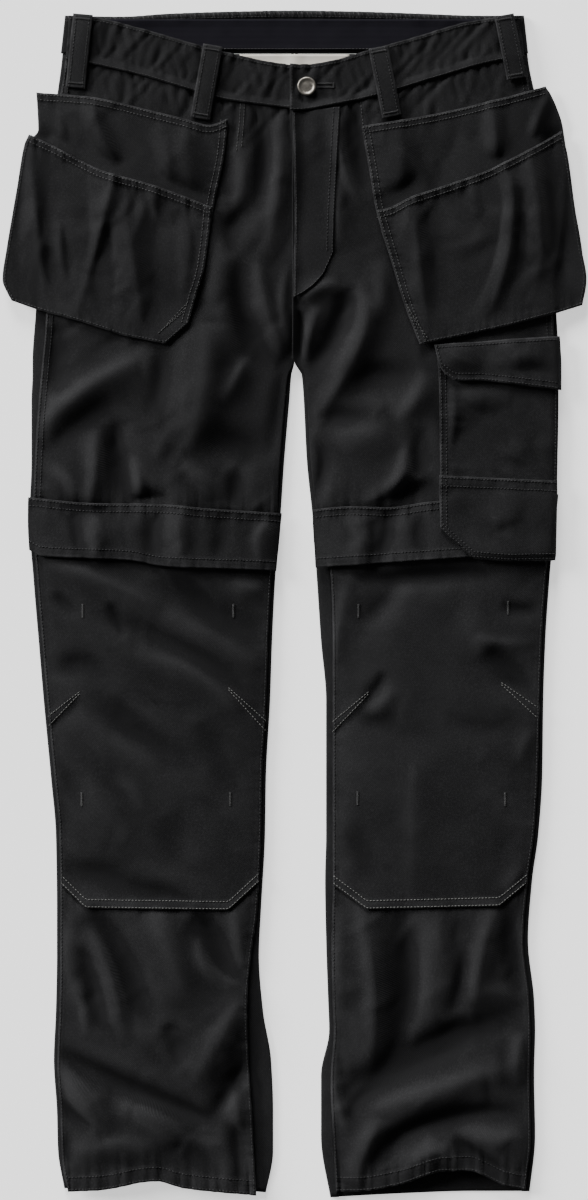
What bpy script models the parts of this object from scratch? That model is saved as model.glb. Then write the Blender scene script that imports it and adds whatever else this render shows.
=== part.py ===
"""Work trousers laid flat on their back, front upwards, with two hanging tool pockets.

Sizes are in millimetres until a mesh is made. 'across' runs from the wearer's right (negative)
to the wearer's left, and 'down' runs from the top of the back waistband to the back hem. Every
piece of cloth is an open grid, placed between its four edges, that gets its wall from Solidify.
The back panels lie flat and roll up at their sides. The other pieces lie on them in the order
in which they are sewn on, and each is raised until it clears the pieces below it.
"""

import math

import bpy
import numpy as np
from mathutils import Vector
from mathutils.bvhtree import BVHTree

OBJECT_NAME = "work_trousers"
MM = 0.001

LENGTH = 1168.0
CROTCH = 346.0
CENTRE_GAP = 0.2

CLOTH = 1.2
BAND_CLOTH = 2.4
BACK_BAND_CLOTH = 1.6
FACING_CLOTH = 0.8
LOOP_CLOTH = 2.0
HEM_CLOTH = 1.8

ROLL_RADIUS = 1.2
SEAT_SEAM_RADIUS = 0.9
BAND_ROLL_RADIUS = 1.5
ROLL_STEPS = 4
SEAM_LAP = 3.0
PANEL_LAP = 6.0
CLEARANCE = 0.45

EDGE_HEIGHT = 3.9
CROWN = 2.6
CROWN_REACH = 24.0
FOLD_FADE = 11.0
FOLD_DEPTH = 1.3
LOWEST_UNDERSIDE = 1.7

CELL = 17.0
SAMPLES = 8

CANVAS = (0.0152, 0.0150, 0.0152)
FACING = (0.0115, 0.0110, 0.0146)
LABEL = (0.584, 0.565, 0.527)
STEEL = (0.254, 0.238, 0.216)

# Each leg from the waist to the hem: the outline's distance from the centre line at the outer
# and the inner side, and where the front's side seams lie.
# down, outer, outer seam, inner, inner seam
RIGHT_LEG = (
    (0, 225, 221, 0.2, 0.2),
    (48, 229, 225, 0.2, 0.2),
    (100, 236, 232, 0.2, 0.2),
    (206, 248, 241, 0.2, 0.2),
    (300, 255, 244, 0.2, 0.2),
    (346, 258, 248, 0.2, 0.2),
    (358, 258, 249, 3, 6),
    (383, 259, 251, 5, 9),
    (442, 259, 255, 10, 14),
    (501, 261, 257, 14, 18),
    (560, 257, 253, 19, 23),
    (620, 252, 248, 22, 26),
    (679, 247, 243, 24, 28),
    (753, 240, 236, 28, 32),
    (812, 235, 231, 29, 33),
    (886, 234, 230, 33, 37),
    (930, 234, 230, 35, 43),
    (984, 235, 231, 31, 47),
    (1033, 237, 233, 23, 45),
    (1083, 234, 230, 21, 42),
    (1122, 233, 229, 21, 40),
    (1166, 226, 222, 29, 38),
)
LEFT_LEG = (
    (0, 226, 222, 0.2, 0.2),
    (48, 230, 226, 0.2, 0.2),
    (107, 242, 238, 0.2, 0.2),
    (166, 249, 245, 0.2, 0.2),
    (226, 254, 250, 0.2, 0.2),
    (300, 258, 254, 0.2, 0.2),
    (346, 260, 256, 0.2, 0.2),
    (358, 260, 256, 7, 10),
    (383, 260, 256, 9, 13),
    (442, 259, 255, 12, 16),
    (501, 256, 252, 18, 23),
    (560, 251, 247, 22, 36),
    (620, 247, 243, 26, 38),
    (679, 245, 241, 31, 38),
    (753, 244, 239, 31, 38),
    (812, 240, 235, 31, 38),
    (856, 234, 229, 30, 38),
    (915, 230, 225, 31, 37),
    (974, 236, 231, 33, 38),
    (1004, 237, 232, 34, 39),
    (1048, 236, 231, 26, 36),
    (1107, 237, 232, 26, 38),
    (1166, 231, 226, 36, 41),
)
LEGS = {"right": RIGHT_LEG, "left": LEFT_LEG}
SIGNS = {"right": -1.0, "left": 1.0}

# Cross seams and edges of each side: across (from the centre outwards), down.
WAIST_TOP = {
    "right": ((0, 55), (22, 52), (55, 45), (91, 36), (146, 20), (195, 8), (226, 5)),
    "left": ((-6, 54), (12, 54), (39, 50), (63, 43), (119, 27), (176, 11), (226, 5)),
}
WAIST_SEAM = {
    "right": ((0, 98), (32, 94), (73, 88), (100, 80), (151, 65), (198, 54), (229, 48)),
    "left": ((-6, 100), (0, 100), (39, 94), (81, 85), (137, 68), (202, 50), (230, 46)),
}
BAND_SEAM = {
    "right": ((10, 495), (88, 490), (134, 486), (197, 485), (262, 479)),
    "left": ((10, 492), (55, 488), (89, 489), (139, 483), (202, 479), (260, 476)),
}
BAND_EDGE = {
    "right": ((10, 552), (28, 551), (129, 547), (163, 541), (248, 537), (262, 530)),
    "left": ((10, 549), (70, 545), (127, 541), (202, 537), (260, 537)),
}
KNEE_SEAM = {
    "right": ((30, 853), (65, 885), (205, 883), (233, 856)),
    "left": ((33, 856), (71, 884), (201, 881), (233, 855)),
}
FRONT_HEM = {
    "right": ((29, 1166), (74, 1162), (108, 1158), (136, 1151), (191, 1160), (226, 1162)),
    "left": ((36, 1162), (67, 1161), (101, 1155), (149, 1141), (170, 1141), (208, 1156), (232, 1161)),
}
BACK_HEM = {
    "right": ((29, 1163), (74, 1159), (136, 1149), (191, 1157), (226, 1159)),
    "left": ((36, 1168), (113, 1164), (173, 1162), (231, 1162)),
}
BACK_BAND_TOP = (
    (-226, 5), (-172, 6), (-123, 3), (-64, 1), (0, 0), (65, 1), (124, 3), (183, 5), (226, 5),
)
BACK_BAND_SEAM = 42.0

# The largest folds of the fronts, as soft ridges and troughs along a curve through three places.
# across, down at the start, the middle and the end; half width; height (negative is a trough)
BODY_FOLDS = (
    (-54, 130, -54, 160, -53, 192, 11, 3.2),
    (-38, 96, -38, 170, -57, 224, 9, -2.6),
    (-21, 112, -19, 200, -20, 290, 12, 2.4),
    (-56, 228, -36, 310, -4, 352, 14, -3.2),
    (46, 96, 47, 160, 60, 192, 9, 2.6),
    (43, 172, 45, 200, 43, 232, 8, 2.0),
    (6, 284, 26, 280, 46, 272, 12, 2.4),
    (30, 282, 38, 335, 41, 388, 14, -3.2),
    (60, 314, 38, 355, 18, 400, 12, 3.4),
    (-256, 428, -180, 369, -138, 305, 17, 4.2),
    (-240, 456, -166, 397, -122, 342, 16, -2.6),
    (-203, 404, -200, 450, -203, 492, 14, 3.2),
    (-190, 410, -180, 446, -166, 484, 10, -2.8),
    (-162, 464, -156, 475, -148, 486, 12, 2.4),
    (-92, 306, -88, 360, -92, 424, 22, 3.4),
    (-84, 378, -60, 420, -32, 456, 25, -2.8),
    (44, 330, 76, 350, 108, 376, 24, -2.8),
    (128, 364, 86, 408, 40, 458, 18, 3.8),
    (98, 424, 92, 455, 68, 482, 10, 2.8),
    (70, 468, 104, 476, 140, 476, 9, -2.6),
    (-250, 544, -190, 560, -128, 584, 14, 3.2),
    (-122, 550, -76, 588, -28, 622, 20, -3.2),
    (-236, 632, -206, 650, -178, 672, 14, -2.6),
    (-182, 582, -160, 630, -90, 712, 14, -3.0),
    (52, 550, 76, 576, 102, 604, 18, -2.8),
    (42, 552, 43, 610, 43, 674, 12, 2.2),
    (190, 624, 212, 650, 234, 672, 16, -2.6),
    (76, 660, 78, 672, 80, 690, 9, -2.4),
    (-206, 888, -160, 954, -114, 1016, 15, -3.0),
    (-236, 1022, -154, 1066, -70, 1102, 13, -3.6),
    (-76, 890, -66, 922, -56, 958, 16, -3.0),
    (-46, 960, -78, 1012, -112, 1066, 15, 3.8),
    (-232, 1030, -210, 1066, -184, 1106, 13, 3.2),
    (59, 892, 60, 960, 58, 1028, 18, 3.4),
    (96, 922, 98, 976, 94, 1028, 18, -3.2),
    (190, 884, 192, 930, 188, 982, 18, 3.2),
    (44, 1086, 138, 1038, 232, 986, 18, -3.8),
    (66, 1138, 146, 1114, 228, 1086, 13, -3.2),
    (52, 1114, 140, 1078, 230, 1038, 14, 3.6),
    (152, 1106, 154, 1126, 152, 1144, 16, 2.6),
)

# The hanging pockets: the edges of the rear layer and of the bag in front of it.
# Side edges are (down, across), upper and lower edges are (across, down).
HOLSTER_REAR = {
    "right": {
        "outer": ((80, 254), (117, 252), (132, 264), (176, 272), (265, 284), (284, 275)),
        "inner": ((105, 65), (138, 68), (188, 78), (253, 89), (309, 105)),
        "top": ((65, 108), (84, 114), (105, 109), (132, 102), (202, 86), (254, 81)),
        "low": ((105, 306), (128, 325), (167, 317), (237, 294), (284, 281)),
    },
    "left": {
        "outer": ((75, 247), (94, 257), (115, 264), (162, 270), (265, 285), (290, 281)),
        "inner": ((117, 66), (156, 73), (198, 80), (265, 101), (330, 124)),
        "top": ((66, 115), (79, 113), (117, 107), (161, 98), (205, 87), (247, 75)),
        "low": ((124, 326), (135, 323), (179, 314), (214, 306), (285, 286)),
    },
}
HOLSTER_BAG = {
    "right": {
        "outer": ((120, 259), (132, 265), (176, 273), (235, 283), (265, 287), (286, 278)),
        "inner": ((195, 81), (253, 88), (284, 97), (309, 104)),
        "top": ((81, 195), (114, 182), (149, 170), (186, 160), (211, 148), (237, 134), (262, 122)),
        "low": ((104, 309), (127, 329), (167, 321), (206, 308), (255, 294), (286, 283)),
    },
    "left": {
        "outer": ((119, 263), (147, 269), (191, 275), (235, 282), (265, 287), (290, 283)),
        "inner": ((198, 80), (235, 91), (265, 100), (291, 108), (330, 123)),
        "top": ((80, 198), (91, 196), (117, 184), (152, 172), (188, 159), (223, 142), (263, 119)),
        "low": ((123, 330), (135, 327), (179, 318), (214, 310), (258, 298), (287, 289)),
    },
}
REAR_FOLDS = (
    (-194, 92, -190, 120, -190, 150, 13, 2.4),
    (-166, 104, -150, 130, -138, 164, 14, -2.0),
    (-104, 116, -104, 150, -106, 186, 22, 1.6),
    (92, 112, 98, 150, 104, 192, 16, 2.0),
    (160, 96, 162, 130, 166, 168, 14, -2.0),
    (192, 90, 195, 120, 196, 152, 10, 2.0),
    (220, 82, 226, 108, 232, 132, 10, -1.6),
)
BAG_FOLDS = (
    (-254, 138, -258, 205, -262, 280, 10, 2.8),
    (-188, 156, -198, 200, -208, 242, 11, -2.6),
    (-181, 164, -192, 215, -216, 282, 6, 2.6),
    (-183, 220, -180, 258, -177, 300, 10, -2.0),
    (-150, 178, -152, 250, -150, 320, 14, 2.8),
    (-122, 196, -120, 255, -118, 318, 14, -2.4),
    (112, 196, 114, 255, 124, 318, 15, 2.8),
    (188, 164, 190, 220, 178, 282, 12, -2.8),
    (210, 156, 212, 215, 208, 282, 10, 2.4),
    (234, 138, 236, 205, 234, 272, 10, 2.4),
)
POUCH_RISE = 2.4

# The cargo pocket on the left thigh, its flap and the tool pocket on its lower half.
CARGO_BODY = {
    "outer": ((322, 259), (458, 258), (540, 255)),
    "inner": ((326, 139), (376, 142), (458, 143), (510, 146), (540, 172)),
    "top": ((139, 334), (259, 324)),
    "low": ((143, 507), (171, 536), (255, 538)),
}
CARGO_FLAP = {
    "outer": ((320, 260), (350, 262), (374, 262)),
    "inner": ((330, 137), (352, 143), (366, 156)),
    "top": ((137, 330), (260, 321)),
    "low": ((137, 338), (143, 354), (156, 365), (183, 365), (220, 369), (262, 374)),
}
TOOL_POCKET = {
    "outer": ((462, 258), (541, 256)),
    "inner": ((458, 142), (509, 143), (539, 171)),
    "top": ((142, 458), (258, 463)),
    "low": ((143, 509), (171, 539), (211, 542), (256, 541)),
}

# Fly placket: its free edge and the curve that its row of stitching follows.
FLY = {
    "outer": ((96, 45), (147, 42), (206, 39), (284, 37)),
    "inner": ((96, -2), (137, -1), (245, -1), (284, -1)),
    "top": ((-3, 96), (45, 90)),
    "low": ((-2, 284), (8, 279), (18, 272), (28, 261), (37, 240), (39, 236)),
}

# Belt loops: the middle of the upper and of the lower end.
# name, across and down above, across and down below
BELT_LOOPS = (
    ("belt_loop_side_right", -207.5, 5.0, -215.0, 77.0),
    ("belt_loop_front_right", -80.0, 36.0, -92.5, 108.0),
    ("belt_loop_front_left", 82.0, 38.0, 95.5, 106.0),
    ("belt_loop_side_left", 205.5, 6.0, 218.0, 68.0),
)
LOOP_WIDTH = 19.0

BUTTON_PLACE = (12.0, 76.0)
# distance from the axis, height
BUTTON_PROFILE = ((0, 2.5), (6.3, 2.5), (7.2, 3.1), (8.4, 3.0), (9.2, 2.2), (9.2, 0.9), (8.4, 0), (0, 0))
BUTTON_STEPS = 28

built = {}


def smooth(table, at, column=1):
    """Read a column of a table at the given places, with a curve that keeps between its rows."""
    rows = np.array(table, dtype=float)
    places = rows[:, 0]
    values = rows[:, column]
    gaps = np.diff(places)
    slopes = np.diff(values) / gaps
    product = slopes[:-1] * slopes[1:]
    total = np.where(product > 0, slopes[:-1] + slopes[1:], 1.0)
    middle = np.where(product > 0, 2.0 * product / total, 0.0)
    tangents = np.concatenate([slopes[:1], middle, slopes[-1:]])
    at = np.asarray(at, dtype=float)
    row = np.clip(np.searchsorted(places, at, side="right") - 1, 0, len(places) - 2)
    gap = gaps[row]
    t = np.clip((at - places[row]) / gap, 0.0, 1.0)
    rise = (3.0 - 2.0 * t) * t * t
    start_pull = t * (1.0 - t) ** 2 * gap * tangents[row]
    end_pull = t * t * (t - 1.0) * gap * tangents[row + 1]
    return values[row] * (1.0 - rise) + values[row + 1] * rise + start_pull + end_pull


def straight(table, at):
    """Read a table of corners at the given places, with straight runs between them."""
    rows = np.array(table, dtype=float)
    return np.interp(at, rows[:, 0], rows[:, 1])


def folds(across, down, table):
    """Add up soft ridges and troughs: a bell across each curve, fading to nothing at its ends."""
    total = np.zeros_like(across)
    for x0, d0, xm, dm, x1, d1, width, height in table:
        start = np.array((x0, d0), dtype=float)
        end = np.array((x1, d1), dtype=float)
        pull = 2.0 * np.array((xm, dm), dtype=float) - 0.5 * (start + end)
        best = np.full(across.shape, np.inf)
        place = np.zeros_like(across)
        steps = 10
        for step in range(steps):
            t0 = step / steps
            t1 = (step + 1) / steps
            a = (1 - t0) ** 2 * start + 2 * t0 * (1 - t0) * pull + t0 * t0 * end
            b = (1 - t1) ** 2 * start + 2 * t1 * (1 - t1) * pull + t1 * t1 * end
            run = b - a
            k = ((across - a[0]) * run[0] + (down - a[1]) * run[1]) / (run @ run)
            k = np.clip(k, 0.0, 1.0)
            distance = (across - a[0] - k * run[0]) ** 2 + (down - a[1] - k * run[1]) ** 2
            nearer = distance < best
            best = np.where(nearer, distance, best)
            place = np.where(nearer, t0 + k * (t1 - t0), place)
        total = total + height * np.exp(-best / width ** 2) * (1.0 - (2.0 * place - 1.0) ** 4)
    return FOLD_DEPTH * total


def body_height(across, down):
    """Height of the fronts' underside: a low crown between the rolled sides, plus the folds."""
    side = across > 0
    reach = np.abs(across)
    outer = np.where(side, smooth(LEFT_LEG, down, 1), smooth(RIGHT_LEG, down, 1))
    inner = np.where(side, smooth(LEFT_LEG, down, 3), smooth(RIGHT_LEG, down, 3))
    from_outer = np.maximum(outer - reach, 0.0)
    from_inner = np.maximum(reach - inner, 0.0) + np.maximum(CROTCH - down, 0.0)
    swell = (1.0 - np.exp(-from_outer / CROWN_REACH)) * (1.0 - np.exp(-from_inner / CROWN_REACH))
    nearest = np.minimum(from_outer, from_inner)
    fade = 1.0 - np.exp(-(nearest / FOLD_FADE) ** 2)
    height = EDGE_HEIGHT + CROWN * swell + fade * folds(across, down, BODY_FOLDS)
    return np.maximum(height, LOWEST_UNDERSIDE)


def steps_for(size):
    """Number of grid cells along a size."""
    return max(2, round(size / CELL))


def place_grid(side, outer, inner, top, low, columns, rows):
    """Find the points of a grid whose sides follow outer and inner and whose ends top and low.

    The edges are functions: outer and inner give the distance from the centre line at a place
    down the garment, top and low give the place down at a distance from the centre line. The
    two depend on each other, so they are worked out in turn until they agree.
    """
    u, v = np.meshgrid(columns, rows)
    reach = np.full(u.shape, 100.0)
    for _ in range(12):
        down = top(reach) * (1.0 - v) + low(reach) * v
        reach = inner(down) * (1.0 - u) + outer(down) * u
    return SIGNS[side] * reach, down


def even(count):
    """Fractions from 0 to 1 in equal steps."""
    return np.linspace(0.0, 1.0, count + 1)


def pieces_under(across, down):
    """The pieces made so far whose boxes, seen from above, meet the box of a grid."""
    x = across * MM
    y = (LENGTH / 2 - down) * MM
    graph = bpy.context.evaluated_depsgraph_get()
    found = []
    for piece in built.values():
        corners = np.array(piece.evaluated_get(graph).bound_box)
        low = corners.min(axis=0)
        high = corners.max(axis=0)
        if low[0] < x.max() and high[0] > x.min() and low[1] < y.max() and high[1] > y.min():
            found.append(BVHTree.FromObject(piece, graph))
    return found


def clear_of(across, down, under):
    """Raise the underside of a grid until its faces clear the pieces below by the clearance."""
    trees = pieces_under(across, down)
    s, t = np.meshgrid(np.linspace(0.0, 1.0, SAMPLES), np.linspace(0.0, 1.0, SAMPLES))
    s = s.reshape(-1, 1, 1)
    t = t.reshape(-1, 1, 1)
    weights = [(1 - s) * (1 - t), (1 - s) * t, s * (1 - t), s * t]

    def within(values):
        corners = (values[:-1, :-1], values[:-1, 1:], values[1:, :-1], values[1:, 1:])
        return sum(weight * corner for weight, corner in zip(weights, corners))

    sample_x = within(across) * MM
    sample_y = (LENGTH / 2 - within(down)) * MM
    need = np.full(sample_x.shape, -np.inf)
    ray = Vector((0.0, 0.0, -1.0))
    for place in np.ndindex(sample_x.shape):
        start = Vector((sample_x[place], sample_y[place], 0.2))
        for tree in trees:
            hit = tree.ray_cast(start, ray)[0]
            if hit is not None:
                need[place] = max(need[place], hit.z / MM + CLEARANCE)
    raised = under.copy()
    for _ in range(6):
        short = np.maximum(need - within(raised), 0.0)
        if short.max() < 0.01:
            break
        lift = np.zeros_like(raised)
        targets = (lift[:-1, :-1], lift[:-1, 1:], lift[1:, :-1], lift[1:, 1:])
        for weight, target in zip(weights, targets):
            wanted = np.where(weight > 0.0, short, 0.0).max(axis=0)
            np.maximum(target, wanted, out=target)
        raised = raised + lift
    return raised


def finish_material(name, colour, roughness, metallic=0.0):
    """One Principled material with the piece's colour, roughness and metallic value."""
    material = bpy.data.materials.new(name)
    material.use_nodes = True
    shader = material.node_tree.nodes["Principled BSDF"]
    shader.inputs["Base Color"].default_value = (*colour, 1.0)
    shader.inputs["Roughness"].default_value = roughness
    shader.inputs["Metallic"].default_value = metallic
    return material


def add_object(name, mesh, material):
    """Put a mesh into the garment's collection as a named piece."""
    piece = bpy.data.objects.new(name, mesh)
    bpy.data.collections[OBJECT_NAME].objects.link(piece)
    mesh.materials.append(material)
    built[name] = piece
    return piece


def cloth(name, across, down, height, thickness, offset=1.0, colour=CANVAS, roughness=0.86):
    """Make a wall of cloth from a grid of points: an open surface with Solidify."""
    rows, columns = across.shape
    points = np.stack([across * MM, (LENGTH / 2 - down) * MM, height * MM], axis=-1).reshape(-1, 3)
    index = np.arange(rows * columns).reshape(rows, columns)
    corners = [index[:-1, :-1], index[1:, :-1], index[1:, 1:], index[:-1, 1:]]
    if across[0, 0] > across[0, -1]:
        corners.reverse()
    faces = np.stack(corners, axis=-1).reshape(-1, 4)
    mesh = bpy.data.meshes.new(name)
    mesh.from_pydata(points.tolist(), [], faces.tolist())
    mesh.shade_smooth()
    piece = add_object(name, mesh, finish_material(name, colour, roughness))
    wall = piece.modifiers.new("wall", "SOLIDIFY")
    wall.thickness = thickness * MM
    wall.offset = offset
    bpy.context.view_layer.update()
    return piece


def lay(name, across, down, under, thickness, **finish):
    """Lay a piece of cloth on the pieces made before, its underside at least as high as given."""
    return cloth(name, across, down, clear_of(across, down, under), thickness, **finish)


def leg_edge(side, column):
    """The edge or seam of one leg as a function of the place down the garment."""
    return lambda down: smooth(LEGS[side], down, column)


def cross_seam(table, side, shift=0.0):
    """A cross seam of one side as a function of the distance from the centre line."""
    return lambda reach: smooth(table[side], reach) + shift


def rolled_profile(left, right, left_end, right_end, left_radius, right_radius, half_wall):
    """Section of a back piece: strip, roll, flat underside, roll and strip, in order across.

    Returns the distances across and the heights of the middle of the wall, each with one row
    per section, for edges given as arrays of that length.
    """
    turn = np.linspace(math.pi / 2, -math.pi / 2, ROLL_STEPS + 1)
    left = left + half_wall
    right = right - half_wall
    across = [left_end]
    height = [half_wall + 2.0 * left_radius]
    for angle in turn:
        across.append(left + left_radius * (1.0 - math.cos(angle)))
        height.append(half_wall + left_radius * (1.0 + math.sin(angle)))
    for part in (0.25, 0.5, 0.75):
        across.append(left + (right - left) * part)
        height.append(np.full(left.shape, half_wall))
    for angle in turn[::-1]:
        across.append(right - right_radius * (1.0 - math.cos(angle)))
        height.append(half_wall + right_radius * (1.0 + math.sin(angle)))
    across.append(right_end)
    height.append(half_wall + 2.0 * right_radius)
    return np.stack(across, axis=1), np.stack(height, axis=1)


def back_panel(side):
    """Back of one leg: flat where it rests, its sides rolled up to the seams of the front."""
    steps = 2 * steps_for(LENGTH - BACK_BAND_SEAM) // 5
    part = even(steps)
    down = BACK_BAND_SEAM + 0.4 + (1162.0 - BACK_BAND_SEAM - 0.4) * part
    down = np.sort(np.append(down, (CROTCH, CROTCH + 12.0)))
    outer = smooth(LEGS[side], down, 1)
    outer_end = smooth(LEGS[side], down, 2) - SEAM_LAP
    inner = smooth(LEGS[side], down, 3)
    inner_end = smooth(LEGS[side], down, 4) + SEAM_LAP
    seat = np.clip((down - CROTCH) / 40.0, 0.0, 1.0)
    inner_radius = SEAT_SEAM_RADIUS + (ROLL_RADIUS - SEAT_SEAM_RADIUS) * seat
    outer_radius = np.full(down.shape, ROLL_RADIUS)
    across, height = rolled_profile(
        inner, outer, inner_end, outer_end, inner_radius, outer_radius, CLOTH / 2)
    down = np.repeat(down[:, None], across.shape[1], axis=1)
    hem = smooth(BACK_HEM[side], across[-1])
    down[-1] = hem
    cloth("back_panel_" + side, SIGNS[side] * across, down, height, CLOTH, offset=0.0)


def waistband_back():
    """Back waistband, rolled up at the side seams, with its upper edge slightly wavy."""
    part = even(3)
    left = np.full(part.shape, -226.0)
    right = np.full(part.shape, 226.0)
    ends = 8.0
    radius = np.full(part.shape, BAND_ROLL_RADIUS)
    across, height = rolled_profile(
        left, right, left + ends, right - ends, radius, radius, BACK_BAND_CLOTH / 2)
    extra = np.linspace(-200.0, 200.0, 17)
    flat = np.full((len(part), len(extra)), BACK_BAND_CLOTH / 2)
    first = ROLL_STEPS + 2
    across = np.hstack([across[:, :first], np.tile(extra, (len(part), 1)), across[:, -first:]])
    height = np.hstack([height[:, :first], flat, height[:, -first:]])
    top = smooth(BACK_BAND_TOP, across[0])
    down = top + (BACK_BAND_SEAM - top) * part[:, None]
    stretch = 1.0 + 0.018 * part[:, None]
    cloth("waistband_back", across * stretch, down, height, BACK_BAND_CLOTH, offset=0.0)


def waistband_facing():
    """Dark inner band of the back waistband, which shows through the open waist."""
    across = np.tile(np.linspace(-196.0, 196.0, 19), (3, 1))
    down = 8.5 + (39.0 - 8.5) * even(2)[:, None] + 0.0 * across
    under = np.full(across.shape, BACK_BAND_CLOTH + CLEARANCE)
    lay("waistband_facing", across, down, under, FACING_CLOTH,
        colour=FACING, roughness=0.6)


def waist_label():
    """Plain pale strip sewn on below the facing, bare of any words."""
    part = np.linspace(-1.0, 1.0, 9)
    across = np.tile(54.0 * part, (3, 1))
    down = np.stack([np.full(9, 43.0), np.full(9, 50.0), np.full(9, 58.0)])
    under = np.full(across.shape, BACK_BAND_CLOTH)
    lay("waist_label", across, down, under, FACING_CLOTH, colour=LABEL, roughness=0.7)


def front_panel(side):
    """Upper front of one leg, from the waistband to the thigh band."""
    across, down = place_grid(
        side, leg_edge(side, 2), leg_edge(side, 4),
        cross_seam(WAIST_SEAM, side, -PANEL_LAP), cross_seam(BAND_SEAM, side, PANEL_LAP),
        even(steps_for(250)), even(steps_for(410)))
    under = body_height(across, down)
    lay("front_panel_" + side, across, down, under, CLOTH)


def shin_panel(side):
    """Lower front of one leg, from under the knee panel to the hem."""
    across, down = place_grid(
        side, leg_edge(side, 2), leg_edge(side, 4),
        cross_seam(KNEE_SEAM, side, -PANEL_LAP - 2.0), cross_seam(FRONT_HEM, side),
        even(steps_for(200)), even(steps_for(290)))
    under = body_height(across, down)
    lay("shin_panel_" + side, across, down, under, CLOTH)


def knee_panel(side):
    """Doubled knee, whose lower edge laps over the shin and whose top hides under the band."""
    across, down = place_grid(
        side, leg_edge(side, 2), leg_edge(side, 4),
        cross_seam(BAND_SEAM, side, 2.0 * PANEL_LAP),
        lambda reach: straight(KNEE_SEAM[side], reach),
        even(steps_for(215)), even(steps_for(370)))
    under = body_height(across, down)
    lay("knee_panel_" + side, across, down, under, CLOTH)


def thigh_band(side):
    """Hemmed band round the lower thigh, sewn at its top and hanging free over the knee."""
    across, down = place_grid(
        side, lambda down: smooth(LEGS[side], down, 1) + 0.8, leg_edge(side, 3),
        cross_seam(BAND_SEAM, side), cross_seam(BAND_EDGE, side),
        even(steps_for(245)), even(3))
    free = (down - down[0]) / (down[-1] - down[0])
    under = body_height(across, down) + CLOTH + 2.6 * free ** 1.5
    lay("thigh_band_" + side, across, down, under, HEM_CLOTH)


def waistband_front(side):
    """Front waistband of one side; the left end laps over the right one at the button."""
    end = -4.6 if side == "left" else 5.4
    across, down = place_grid(
        side, leg_edge(side, 2), lambda down: np.full(np.shape(down), end),
        cross_seam(WAIST_TOP, side), cross_seam(WAIST_SEAM, side),
        even(steps_for(215)), even(3))
    under = body_height(across, down) + 0.6
    lay("waistband_front_" + side, across, down, under, BAND_CLOTH)


def fly():
    """Placket of the fly, on the left front, its free edge over the centre line."""
    across, down = place_grid(
        "left", lambda down: straight(FLY["outer"], down),
        lambda down: straight(FLY["inner"], down),
        lambda reach: straight(FLY["top"], reach) + 6.0,
        lambda reach: straight(FLY["low"], reach), even(4), even(10))
    under = body_height(across, down) + CLOTH
    lay("fly", across, down, under, CLOTH)


def belt_loop(name, x0, d0, x1, d1):
    """A belt loop, sewn down at both ends over the waistband and bowed a little between."""
    part = even(6)[:, None]
    wide = np.linspace(-0.5, 0.5, 3)[None, :] * LOOP_WIDTH
    run = np.array((x1 - x0, d1 - d0))
    run = run / np.linalg.norm(run)
    across = x0 + (x1 - x0) * part + run[1] * wide
    down = d0 + (d1 - d0) * part - run[0] * wide
    bow = 1.6 * np.sin(math.pi * part) + 0.0 * wide
    under = body_height(across, down) + BAND_CLOTH + bow
    lay(name, across, down, under, LOOP_CLOTH)


def pocket_grid(side, edges, columns, rows):
    """Grid of a pocket piece from its four tabled edges."""
    return place_grid(
        side, lambda down: smooth(edges["outer"], down),
        lambda down: smooth(edges["inner"], down),
        lambda reach: smooth(edges["top"], reach),
        lambda reach: straight(edges["low"], reach), columns, rows)


def holster_rear(side):
    """Rear layer of a hanging pocket, its hemmed top edge free of the front below it."""
    across, down = pocket_grid(side, HOLSTER_REAR[side], even(10), even(10))
    under = body_height(across, down) + CLOTH + 0.8 + folds(across, down, REAR_FOLDS)
    beyond = np.maximum(np.abs(across) - smooth(LEGS[side], down, 1), 0.0)
    under = under - 0.05 * beyond
    lay("holster_rear_" + side, across, down, under, CLOTH)


def holster_bag(side):
    """Bag of a hanging pocket: slack at its mouth and sewn to the rear layer along its edges."""
    edges = HOLSTER_BAG[side]
    across, down = pocket_grid(side, edges, even(11), even(10))
    columns = even(11)[None, :]
    rows = even(10)[:, None]
    pouch = (1.0 - (2.0 * columns - 1.0) ** 4) * (1.0 - rows ** 4)
    under = body_height(across, down) + 2.0 * CLOTH + 1.6
    under = under + POUCH_RISE * pouch + pouch * folds(across, down, BAG_FOLDS)
    lay("holster_bag_" + side, across, down, under, CLOTH)


def cargo_body():
    """Body of the cargo pocket on the left thigh."""
    across, down = pocket_grid("left", CARGO_BODY, even(7), even(11))
    under = body_height(across, down) + CLOTH + 0.8
    lay("cargo_pocket", across, down, under, CLOTH)


def cargo_flap():
    """Flap of the cargo pocket, sewn at its top and free at its three other edges."""
    across, down = pocket_grid("left", CARGO_FLAP, even(7), even(3))
    free = (down - down[0]) / (down[-1] - down[0])
    under = body_height(across, down) + 2.0 * CLOTH + 1.4 + 1.6 * free
    lay("cargo_flap", across, down, under, HEM_CLOTH)


def tool_pocket():
    """Slim tool pocket on the lower half of the cargo pocket, with a cut corner."""
    across, down = pocket_grid("left", TOOL_POCKET, even(7), even(5))
    under = body_height(across, down) + 3.0 * CLOTH + 1.6
    lay("tool_pocket", across, down, under, CLOTH)


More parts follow.
